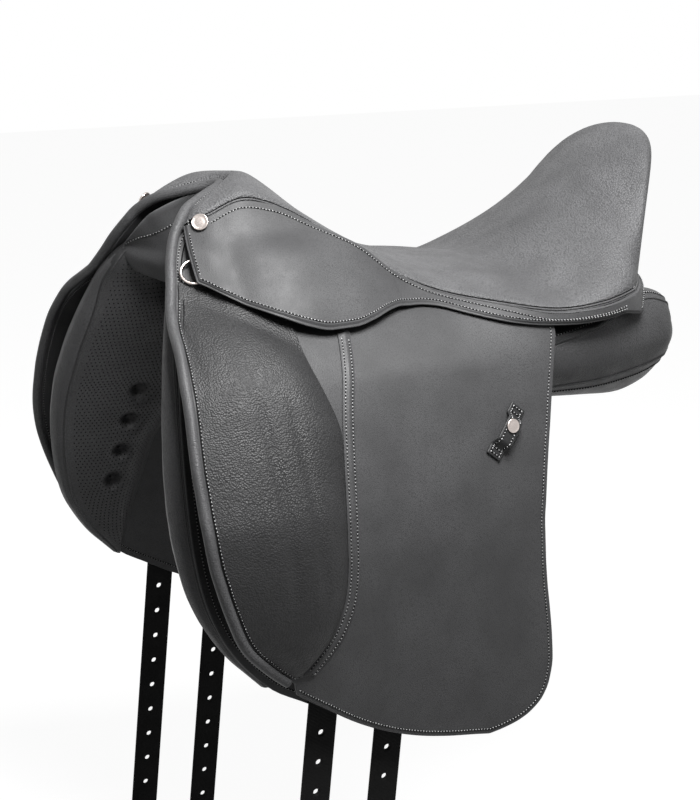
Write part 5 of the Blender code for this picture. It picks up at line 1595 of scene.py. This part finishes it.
class SADDLE_OT_knee_pads(bpy.types.Operator):
    """Makes the knee pads, soft and full, with the stitched strip behind them"""
    bl_idname = "saddle.knee_pads"
    bl_label = "Knee pads and strips"

    def execute(self, context):
        self.pads()
        self.strips()
        return {"FINISHED"}

    def pads(self):
        shares = supported(46, 0.12)
        tops = [pad_top(share) for share in shares]
        rows = []
        for down in supported(90, 0.27):
            heights = [mix(top, PAD_LOW, down) for top in tops]
            places = [(mix(pad_front(z), pad_rear(z), share), z) for share, z in zip(shares, heights)]
            rows.append(([on_surface(flap_x, y, z, pad_rise(y, z, top - 0.014))
                          for (y, z), top in zip(places, tops)],
                         [on_surface(flap_x, y, z, 0.0002) for y, z in places]))
        dress_pair(paired_sheet("knee_pad", rows), "knee_pad", "pad leather",
                   "flap", ["knee_pad"], bend=FLAP_BEND)

    def strips(self):
        """The strips behind the pads, with a raised middle and a row of stitches on each side of it."""
        rows = []
        for z in spread(0.0775, -0.172, 90):
            y = lookup(STRIP_LINE, z, 1) + 0.0012
            slope = (lookup(STRIP_LINE, z - 0.002, 1) - lookup(STRIP_LINE, z + 0.002, 1)) / 0.004
            side = Vector((1, slope)).normalized()
            rows.append([[on_surface(flap_x, y + side.x * d, z + side.y * d, CLEAR + h * share)
                          for d, h in STRIP_PROFILE] for share in (1, 0)])
        dress_pair(paired_sheet("seam_strip", rows), "seam_strip", "smooth leather",
                   "flap", ["seam_strip"], bend=FLAP_BEND)
        lines = [[outer[j].lerp(outer[j + 1], 0.5) for outer, inner in rows[2:-2]] for j in (1, 5)]
        stitch_pair(lines, "seam_strip", "flap", FLAP_BEND)


# Keepers

KEEPER_THICK = 0.0018
KEEPER_ROW = KEEPER_WIDTH * 0.33            # from its middle to its rows of stitches
KEEPER_CROSSINGS = (0.0020, 0.0066)         # from its ends to the rows across it
DISC_PLACE = (0.0045, 0.0008, 0)


class SADDLE_OT_keepers(bpy.types.Operator):
    """Makes the tab that holds a stirrup leather's end, with its disc"""
    bl_idname = "saddle.keepers"
    bl_label = "Keepers and discs"

    def execute(self, context):
        place = keeper_frame()
        self.tabs(place)
        self.discs(place)
        return {"FINISHED"}

    def tabs(self, place):
        half = KEEPER_LENGTH / 2
        rows = []
        for x in [mix(-half, half, share) for share in supported(60, KEEPER_LENGTH)]:
            rise = keeper_height(x) + CLEAR
            outer = []
            inner = []
            for s in [2 * share - 1 for share in supported(15, KEEPER_WIDTH)]:
                rim = 0.0005 * math.exp(-((abs(s) - 0.86) / 0.09) ** 2)
                outer.append(place @ Vector((x, s * KEEPER_WIDTH / 2, rise + KEEPER_THICK + rim)))
                inner.append(place @ Vector((x, s * KEEPER_WIDTH / 2, rise)))
            rows.append((outer, inner))
        dress_pair(paired_sheet("keeper", rows), "keeper", "tab leather",
                   "flap", ["keeper"])
        top = CLEAR + KEEPER_THICK + ROW_RISE
        lines = []
        for s in (-1, 1):
            lines.append([place @ Vector((x, s * KEEPER_ROW, keeper_height(x) + top))
                          for x in spread(-half + 0.002, half - 0.002, 60)])
            for inset in KEEPER_CROSSINGS:
                lines.append([place @ Vector((s * (half - inset), y, top))
                              for y in spread(-KEEPER_ROW, KEEPER_ROW, 10)])
        stitch_pair(lines, "keeper", "flap")

    def discs(self, place):
        """The discs, each with a rounded rim round a low crown."""
        base = KEEPER_RISE + KEEPER_THICK + 2 * CLEAR
        shape = ((0, 0), (0.93, 0), (1, 0.0004), (1, 0.0010), (0.95, 0.0014), (0.86, 0.0015),
                 (0.80, 0.0012), (0.5, 0.0016), (0, 0.0018))
        profile = [(DISC_RADIUS * share, base + height) for share, height in shape]
        disc = turned("keeper_disc", profile, place @ Matrix.Translation(DISC_PLACE), 44)
        dress_pair(disc, "keeper_disc", "silver plate", "flap", ["keeper_disc"])


# Rings

RING_OPENING = 58         # half the angle that the straight bar closes, in degrees
CHAPE_HALF = 0.0062       # half the width of the ring's loop
CHAPE_NECK = 0.005        # from the bar to where the loop's two layers meet
CHAPE_TAIL = 0.011        # and to its end


class SADDLE_OT_rings(bpy.types.Operator):
    """Makes the D-shaped rings under the skirts and the loops that hold them"""
    bl_idname = "saddle.rings"
    bl_label = "Rings and their loops"

    def execute(self, context):
        place = ring_frame()
        level = RING_BASE + CLEAR + CHAPE_THICK + RING_WIRE
        line = []
        for turn in spread(RING_OPENING, 360 - RING_OPENING, 70):
            angle = math.radians(turn)
            around = Vector((math.cos(angle), math.sin(angle), 0)) * RING_RADIUS
            line.append(place @ (around + Vector((0, 0, level))))
        bar = [line[-1].lerp(line[0], share) for share in spread(0, 1, 14)[1:-1]]
        ring = closed_tube("ring", line + bar, RING_WIRE, 14)
        dress_pair(ring, "ring", "silver plate", "ring", ["ring"])
        self.loops(place, level, RING_RADIUS * math.cos(math.radians(RING_OPENING)))
        return {"FINISHED"}

    def loops(self, place, level, x_bar):
        """A strap of leather round each ring's bar, with both ends to the rear."""
        inner_r = RING_WIRE + CLEAR
        outer_r = inner_r + CHAPE_THICK
        tail = x_bar + CHAPE_TAIL
        neck = x_bar + CHAPE_NECK
        low = level - outer_r
        fold = low + CHAPE_THICK + CLEAR
        rows = [((tail, fold + CHAPE_THICK), (tail, fold)),
                ((neck, fold + CHAPE_THICK + 0.0002), (neck, fold + 0.0002))]
        for turn in spread(math.pi / 2, 3 * math.pi / 2, 17):
            rows.append([(x_bar + r * math.cos(turn), level + r * math.sin(turn))
                         for r in (outer_r, inner_r)])
        rows.append(((tail, low), (tail, low + CHAPE_THICK)))
        widths = spread(-CHAPE_HALF, CHAPE_HALF, 9)
        grid = [[[place @ Vector((x, y, z)) for y in widths] for x, z in row] for row in rows]
        dress_pair(eased(paired_sheet("ring_chape", grid)), "ring_chape", "smooth leather",
                   nodes=["ring_chape"])


# Sweat flaps

SWEAT_TURN = -0.225       # height under which the sweat flap is rounded off


class SADDLE_OT_sweat_flaps(bpy.types.Operator):
    """Makes the leather under each flap, with a stitched edge"""
    bl_idname = "saddle.sweat_flaps"
    bl_label = "Sweat flaps"

    def execute(self, context):
        heights = heights_to(SWEAT_OUTLINE[0][0], SWEAT_TURN, SWEAT_ROWS[0][0], 66, 22)
        flap = side_sheet("sweat_flap", sweat_x, SWEAT_ROWS, SWEAT_THICK, heights, 30)
        dress_pair(flap, "sweat_flap", "smooth leather", nodes=["sweat_flap"])
        rows = [outline_row(sweat_x, SWEAT_ROWS, 0.066, SWEAT_TURN, 0.066, 0.0055, out)
                for out in (ROW_RISE, -SWEAT_THICK - ROW_RISE)]
        stitch_pair(rows, "sweat_flap")
        return {"FINISHED"}


# Panels

LEAF_BACK = -SWEAT_THICK - CLEAR            # depth of the leaf's outer face under the sweat flap
BEARER_ENDS = ((0.90, 0.0020), (0.72, 0.0034), (0.48, 0.0044), (0.24, 0.0050))   # size and reach
RING_STEPS = 8            # points from one corner of a cross section to the next
CORD_POINTS = (24, 36)    # the points of each ring that the cords run through
STITCH_POINTS = (22, 38)  # and the rows of stitches
PERFORATION_ROW = 0.866   # from one row to the next, for the distance in a row
PATCH = ((-1, -1), (1, -1), (1, 1), (-1, 1))


def bearer_grid():
    """Rings of points round the long part of the panel, rounded off at both ends."""
    rings = [[Vector((x, y, z)) for x, z in ring] for y, ring in BEARER_SECTIONS]
    rings = refined([through(ring, RING_STEPS, closed=True) for ring in rings], 7)
    ends = []
    for ring, step in ((rings[0], -1), (rings[-1], 1)):
        centre = sum(ring, Vector()) / len(ring)
        ends.append([[centre.lerp(p, size) + Vector((0, step * out, 0)) for p in ring]
                     for size, out in BEARER_ENDS])
    return ends[0][::-1] + rings + ends[1]


class SADDLE_OT_panels(bpy.types.Operator):
    """Makes the panels: the long bearing cushions, the tufted leaves, perforations, cords and boxing"""
    bl_idname = "saddle.panels"
    bl_label = "Panels"

    def execute(self, context):
        heights = spread(LEAF_OUTLINE[0][0], LEAF_OUTLINE[-1][0], 120)
        shares = supported(40, 0.09)
        grid = bearer_grid()
        rows = []
        for z in heights:
            ys = [mix(leaf_front(z), lookup(LEAF_OUTLINE, z, 2), share) for share in shares]
            rows.append(([on_surface(sweat_x, y, z, LEAF_BACK) for y in ys],
                         [leaf_inner_point(z, share) for share in shares]))
        panel = joined(paired_sheet("leaf", rows), rings_mesh("bearer", grid))
        dress_pair(panel, "panel", "panel leather", nodes=["panel"])
        self.boxing()
        lines = [[leaf_inner_point(z, 0) for z in heights],
                 [on_surface(sweat_x, leaf_front(z), z, LEAF_BACK) for z in heights]]
        lines += [[ring[k] for ring in grid[10:-4]] for k in CORD_POINTS]
        dress_pair(cords(lines, 0.0011, "panel leather"), "panel_cords", None)
        stitch_pair([self.along(grid[14:-10], k) for k in STITCH_POINTS], "panel")
        self.perforations()
        self.tufts()
        return {"FINISHED"}

    def along(self, rings, k):
        """A row of stitches along the long cushion, through one point of each ring."""
        row = []
        for ring in rings:
            centre = sum(ring, Vector()) / len(ring)
            row.append(ring[k] + (ring[k] - centre).normalized() * ROW_RISE)
        return row

    def boxing(self):
        """The strip that closes the leaf's front."""
        rows = []
        for z in spread(LEAF_OUTLINE[0][0], LEAF_OUTLINE[-1][0], 110):
            front = lookup(LEAF_OUTLINE, z, 1)
            thickness = leaf_thickness(z, 0)
            outer = []
            inner = []
            for share in supported(12, thickness):
                crown = 0.0012 * 4 * share * (1 - share)
                depth = LEAF_BACK - thickness * share
                outer.append(on_surface(sweat_x, front - crown, z, depth))
                inner.append(on_surface(sweat_x, front + BOXING_THICK, z, depth))
            rows.append((outer, inner))
        dress_pair(paired_sheet("panel_boxing", rows), "panel_boxing", "boxing leather",
                   nodes=["panel_boxing"])

    def perforations(self):
        """Rows of small holes, as near-black discs of painted shade over the leaf's inner face, clear of
        its tufts and edges.
        """
        pitch = settings().perforation_pitch
        spots = []
        z = LEAF_OUTLINE[0][0] - 0.012
        shift = 0.0
        while z > LEAF_OUTLINE[-1][0] + 0.010:
            front = leaf_front(z)
            width = lookup(LEAF_OUTLINE, z, 2) - front
            y = front + 0.008 + shift
            while y < front + min(width * 0.9, width - 0.006):
                if min(math.hypot(y - a, z - b) for a, b in TUFTS) > 0.0032:
                    spots.append((z, (y - front) / width))
                y += pitch
            z -= pitch * PERFORATION_ROW
            shift = pitch / 2 - shift
        # Each hole is a flat near-black disc on the leaf, not cut through: painted shade inside the hole.
        marks = self.rounds(spots, 0.0004, "perforations", {
            "Radius": settings().perforation_radius, "Height": 0.00012, "Sides": 6, "Rings": 3})
        dress_pair(marks, "panel_perforations", None)

    def tufts(self):
        """A near-black round in each tuft's dimple: painted shade where the tuft is sewn in."""
        spots = []
        for y, z in TUFTS:
            front = leaf_front(z)
            spots.append((z, (y - front) / (lookup(LEAF_OUTLINE, z, 2) - front)))
        tuft_shade_rounds = self.rounds(spots, 0.0006, "seam shadow",
                            {"Radius": 0.0019, "Height": 0.0009, "Sides": 20, "Rings": 10})
        dress_pair(tuft_shade_rounds, "panel_tufts", None)

    def rounds(self, spots, step, cover, values):
        """A round on each spot of the leaf's inner face, given by its height and share across."""
        points = []
        for z, share in spots:
            across = step / (lookup(LEAF_OUTLINE, z, 2) - leaf_front(z))
            points += [leaf_inner_point(z + dz * step, share + dy * across) for dy, dz in PATCH]
        patch = mesh_from("rounds", points, [tuple(range(k, k + 4)) for k in range(0, len(points), 4)])
        mesh = bpy.data.meshes.new("spots")
        mesh.from_pydata([tuple(face.center) for face in patch.polygons], [], [])
        facing = mesh.attributes.new("facing", "FLOAT_VECTOR", "POINT")
        for place, face in zip(facing.data, patch.polygons):
            place.vector = face.normal
        bpy.data.meshes.remove(patch)
        return grown(mesh, "dots", {**values, "Cover": finished(cover)})


# Girth straps

STRAP_POINT = 0.009       # height over which a strap narrows to its end


class SADDLE_OT_straps(bpy.types.Operator):
    """Makes the girth straps, each in one length with its buckle holes"""
    bl_idname = "saddle.straps"
    bl_label = "Girth straps"

    def execute(self, context):
        bend = (Vector((0.18, 0, STRAP_SPLIT_Z + 0.006)), Vector((0.18, 0, STRAP_SPLIT_Z - 0.006)))
        for name in STRAPS:
            strap = self.strap(name)
            for z in hole_heights():
                strap = self.punched(strap, name, z)
            dress_pair(strap, f"girth_strap_{name}", "strap weave", f"{name}_strap_end",
                       [f"strap_{name}", f"strap_tail_{name}"], bend=bend)
        return {"FINISHED"}

    def strap(self, name):
        rows = []
        heights = [STRAP_TOP, STRAP_TOP - CRISP] + spread(STRAP_TOP, STRAP_END_Z, 150)[1:-1]
        for z in heights + [STRAP_END_Z + CRISP, STRAP_END_Z]:
            centre = strap_y(name, z)
            level = max(z, STRAP_SPLIT_Z + 0.030)
            x = on_surface(sweat_x, centre, level, 0.0016 + STRAP_THICK).x
            end = (z - STRAP_END_Z) / STRAP_POINT
            half = STRAP_WIDTH / 2 * (1 - 0.34 * (1 - min(end, 1)) ** 2)
            ys = [centre + half * (2 * share - 1) for share in supported(11, STRAP_WIDTH)]
            rows.append([[Vector((face, y, z)) for y in ys] for face in (x, x - STRAP_THICK)])
        return paired_sheet("strap_" + name, rows)

    def punched(self, mesh, name, z):
        """The strap with one buckle hole."""
        place = Matrix.Translation((0.1, strap_y(name, z), z)) @ Matrix.Rotation(math.pi / 2, 4, "Y")
        drill = turned("drill", [(0, 0), (HOLE_RADIUS, 0), (HOLE_RADIUS, 0.2), (0, 0.2)], place, 20)
        cutter = bpy.data.objects.new("drill", drill)
        bpy.context.scene.collection.objects.link(cutter)

        def prepare(item):
            cut = item.modifiers.new("hole", "BOOLEAN")
            cut.operation = "DIFFERENCE"
            cut.solver = "EXACT"
            cut.object = cutter
        result = applied(mesh, prepare)
        bpy.data.objects.remove(cutter)
        bpy.data.meshes.remove(drill)
        return result


# Facings

FACING_UNDER = Vector((-0.0105, 0.0050, -0.0045))    # from the roll's middle to the facing's upper edge
FACING_HEIGHTS = (0.132, 0.145, 0.153, 0.160)
FACING_FOLDS = [Vector(fold) for fold in table((2, 9, -24), (1, 1, -13), (0, -2.5, -5))]
REAR_FACING_HALF = 0.029
REAR_FACING_Z = (0.066, 0.0895)
FACING_SEAM = 22          # rows of points from the facing's middle to the seam beside it


class SADDLE_OT_facings(bpy.types.Operator):
    """Makes the lining across the front, under the roll, and the one behind the tree"""
    bl_idname = "saddle.facings"
    bl_label = "Facings"

    def execute(self, context):
        self.front_facing()
        self.rear_facing()
        return {"FINISHED"}

    def front_facing(self):
        upper = [roll_centre(z) + FACING_UNDER for z in FACING_HEIGHTS]
        upper += [Vector(point) for point in FACING_TOP]
        half = []
        for low, high in zip(map(Vector, FRONT_FACING), upper):
            line = [low + fold for fold in FACING_FOLDS]
            half.append(through(line + [low.lerp(high, 0.2), low.lerp(high, 0.6), high], 3))
        inner = refined(half + [[flipped(p) for p in line] for line in reversed(half[:-1])], 8)
        facing = sheet("front_facing", moved_out(inner, -FACING_THICK), inner)
        dress(polished(facing), "front_facing", "facing leather", ROOT, ["front_facing"])
        over = moved_out(inner, -FACING_THICK - ROW_RISE)
        rows = [[line[-4] for line in over], over[len(over) // 2 - FACING_SEAM][3:-5]]
        dress(stitches(rows), "front_facing_stitches", None, ROOT)

    def rear_facing(self):
        low, high = REAR_FACING_Z
        heights = [mix(low, high, share) for share in supported(9, high - low)]
        near = TREE_REAR + CLEAR
        rows = [[[Vector((x, y, z)) for z in heights] for y in (near + FACING_THICK, near)]
                for x in spread(-REAR_FACING_HALF, REAR_FACING_HALF, 25)]
        dress(polished(paired_sheet("cantle_facing", rows)), "cantle_facing", "facing leather",
              ROOT, ["cantle_facing"])


# Fittings that keep the frame's shapes

FITTINGS = {
    "tree": "moulded plastic", "gullet_plate": "steel", "gullet_screw": "steel",
    "seat_webbing": "facing leather", "web_strap": "facing leather", "point_pocket": "smooth leather",
    "stirrup_bar": "steel", "bar_rivet": "steel", "bar_catch": "steel",
}


class SADDLE_OT_fittings(bpy.types.Operator):
    """Gives the tree, the gullet plate, the webs, the pockets and the stirrup bars their finishes"""
    bl_idname = "saddle.fittings"
    bl_label = "Tree and fittings"

    def execute(self, context):
        for name, item in frame["nodes"].items():
            for start, finish in FITTINGS.items():
                if name.startswith(start):
                    for holder in item.material_slots:
                        holder.material = finished(finish)
        return {"FINISHED"}


# Stage

LAMPS = (                 # place, what it points at, size, and share of the key lamp's power
    ("key", (0.56, -0.10, 0.82), (0.1, -0.02, 0.0), 0.45, 1.0),
    ("fill", (1.9, -1.0, 0.9), (0.1, -0.05, 0.0), 1.2, 0.03),
)
CAMERA_AZIMUTH = math.radians(64)
CAMERA_ELEVATION = math.radians(15)
CAMERA_DISTANCE = 1.66
CAMERA_TARGET = Vector((0, -0.05, -0.02))
FLOOR_HALF = 6.0
FLOOR_DROP = 0.012        # from the straps' ends to the floor


class SADDLE_OT_stage(bpy.types.Operator):
    """Sets the pale floor, the soft lamps, the world and the camera"""
    bl_idname = "saddle.stage"
    bl_label = "Stage, lamps and camera"

    def execute(self, context):
        self.floor()
        self.world()
        for name, place, aim, size, share in LAMPS:
            lamp = bpy.data.lights.new(name, "AREA")
            lamp.size = size
            lamp.energy = settings().key_power * share
            self.placed(name, lamp, Vector(place), Vector(aim) - Vector(place))
        self.camera()
        context.scene.view_settings.view_transform = "Standard"
        return {"FINISHED"}

    def placed(self, name, data, place, ahead):
        """A lamp or camera at a place, looking ahead."""
        item = bpy.data.objects.new(name, data)
        item.location = place
        item.rotation_euler = ahead.to_track_quat("-Z", "Y").to_euler()
        bpy.context.scene.collection.objects.link(item)
        return item

    def camera(self):
        lens = bpy.data.cameras.new("camera")
        lens.lens = 85
        lens.sensor_width = 36
        level = math.cos(CAMERA_ELEVATION)
        away = Vector((math.sin(CAMERA_AZIMUTH) * level, -math.cos(CAMERA_AZIMUTH) * level,
                       math.sin(CAMERA_ELEVATION)))
        place = CAMERA_TARGET + away * CAMERA_DISTANCE
        bpy.context.scene.camera = self.placed("camera", lens, place, -away)

    def floor(self):
        level = STRAP_END_Z - FLOOR_DROP
        mesh = bpy.data.meshes.new("floor")
        mesh.from_pydata([(x * FLOOR_HALF, y * FLOOR_HALF, level) for x, y in PATCH], [], [(0, 1, 2, 3)])
        finish = bpy.data.materials.new("floor")
        finish.use_nodes = True
        tree = finish.node_tree
        tree.nodes.clear()
        paint = add_node(tree, "ShaderNodeBsdfDiffuse", {"Color": (0.2, 0.2, 0.2, 1)})
        strength = add_node(tree, "ShaderNodeMath", {0: seen_rays(tree), 1: settings().floor_glow},
                            operation="MULTIPLY")
        glow = add_node(tree, "ShaderNodeEmission", {"Strength": strength})
        both = add_node(tree, "ShaderNodeAddShader", {0: paint, 1: glow})
        add_node(tree, "ShaderNodeOutputMaterial", {"Surface": both})
        mesh.materials.append(finish)
        floor = bpy.data.objects.new("floor", mesh)
        bpy.context.scene.collection.objects.link(floor)

    def world(self):
        world = bpy.data.worlds.new("studio")
        bpy.context.scene.world = world
        world.use_nodes = True
        tree = world.node_tree
        tree.nodes.clear()
        seen, light = (add_node(tree, "ShaderNodeBackground", {"Color": (1, 1, 1, 1), "Strength": strength})
                       for strength in (1.0, settings().room_light))
        both = add_node(tree, "ShaderNodeMixShader", {0: seen_rays(tree), 1: light, 2: seen})
        add_node(tree, "ShaderNodeOutputWorld", {"Surface": both})


def seen_rays(tree):
    """One for what the camera sees straight, in a mirror or through glass."""
    path = add_node(tree, "ShaderNodeLightPath").outputs
    first = add_node(tree, "ShaderNodeMath", {0: path["Is Camera Ray"], 1: path["Is Glossy Ray"]},
                     operation="MAXIMUM")
    return add_node(tree, "ShaderNodeMath", {0: first, 1: path["Is Transmission Ray"]}, operation="MAXIMUM")


# Settings, panel and run

class SaddleSettings(bpy.types.PropertyGroup):
    """Sizes and colours that a user would change"""
    leather_colour: FloatVectorProperty(
        name="Leather colour", description="Colour of the black leather", subtype="COLOR", size=3,
        min=0, max=1, default=(0.036, 0.036, 0.037))
    strap_colour: FloatVectorProperty(
        name="Strap colour", description="Colour of the girth straps", subtype="COLOR", size=3,
        min=0, max=1, default=(0.006, 0.006, 0.006))
    # The pale grey of the stitches is partly painted highlight on a dark thread.
    thread_colour_with_highlight: FloatVectorProperty(
        name="Thread colour", description="Colour of the stitches", subtype="COLOR", size=3,
        min=0, max=1, default=(0.25, 0.25, 0.25))
    metal_colour: FloatVectorProperty(
        name="Metal colour", description="Colour of the rings, studs and discs", subtype="COLOR", size=3,
        min=0, max=1, default=(0.56, 0.50, 0.47))
    grain: FloatProperty(
        name="Grain", description="Size of one pebble of the leather's grain", unit="LENGTH",
        min=0.0003, max=0.01, default=0.00165)
    rib_pitch: FloatProperty(
        name="Rib pitch", description="Distance between the ribs across a girth strap", unit="LENGTH",
        min=0.0003, max=0.01, default=0.0012)
    stitch_pitch: FloatProperty(
        name="Stitch pitch", description="Distance from one stitch to the next", unit="LENGTH",
        min=0.001, max=0.01, default=0.0028)
    stitch_length: FloatProperty(
        name="Stitch length", description="Length of one stitch", unit="LENGTH",
        min=0.0005, max=0.01, default=0.0019)
    stitch_width: FloatProperty(
        name="Stitch width", description="Thickness of the thread", unit="LENGTH",
        min=0.0002, max=0.003, default=0.0012)
    perforation_pitch: FloatProperty(
        name="Perforation pitch", description="Distance between the holes in the panel", unit="LENGTH",
        min=0.001, max=0.02, default=0.0039)
    perforation_radius: FloatProperty(
        name="Perforation radius", description="Radius of a hole in the panel", unit="LENGTH",
        min=0.0002, max=0.003, default=0.00078)
    key_power: FloatProperty(
        name="Key lamp", description="Power of the main lamp in watts", unit="POWER",
        min=0, max=500, default=36)
    room_light: FloatProperty(
        name="Room light", description="Strength of the light from all sides", min=0, max=2, default=0.05)
    floor_glow: FloatProperty(
        name="Floor glow", description="What is added to the floor for the eye only", min=0, max=1,
        default=0.95)


OPERATORS = (
    SADDLE_OT_seat, SADDLE_OT_skirts, SADDLE_OT_flaps, SADDLE_OT_rolls, SADDLE_OT_knee_pads,
    SADDLE_OT_keepers, SADDLE_OT_rings, SADDLE_OT_sweat_flaps, SADDLE_OT_panels, SADDLE_OT_straps,
    SADDLE_OT_facings, SADDLE_OT_fittings, SADDLE_OT_stage,
)


class SADDLE_PT_dressing(bpy.types.Panel):
    """Lists the steps that dress the saddle"""
    bl_idname = "SADDLE_PT_dressing"
    bl_label = "Saddle dressing"
    bl_space_type = "VIEW_3D"
    bl_region_type = "UI"
    bl_category = "Saddle"

    def draw(self, context):
        for name in SaddleSettings.__annotations__:
            self.layout.prop(context.scene.saddle_dressing, name)
        for operator in OPERATORS:
            self.layout.operator(operator.bl_idname)


CLASSES = (SaddleSettings, *OPERATORS, SADDLE_PT_dressing)


def register():
    for item in CLASSES:
        bpy.utils.register_class(item)
    bpy.types.Scene.saddle_dressing = PointerProperty(type=SaddleSettings)


def unregister():
    del bpy.types.Scene.saddle_dressing
    for item in reversed(CLASSES):
        bpy.utils.unregister_class(item)


def main():
    register()
    bpy.ops.saddle.seat()
    bpy.ops.saddle.skirts()
    bpy.ops.saddle.flaps()
    bpy.ops.saddle.rolls()
    bpy.ops.saddle.knee_pads()
    bpy.ops.saddle.keepers()
    bpy.ops.saddle.rings()
    bpy.ops.saddle.sweat_flaps()
    bpy.ops.saddle.panels()
    bpy.ops.saddle.straps()
    bpy.ops.saddle.facings()
    bpy.ops.saddle.fittings()
    bpy.ops.saddle.stage()


if __name__ == "__main__":
    main()
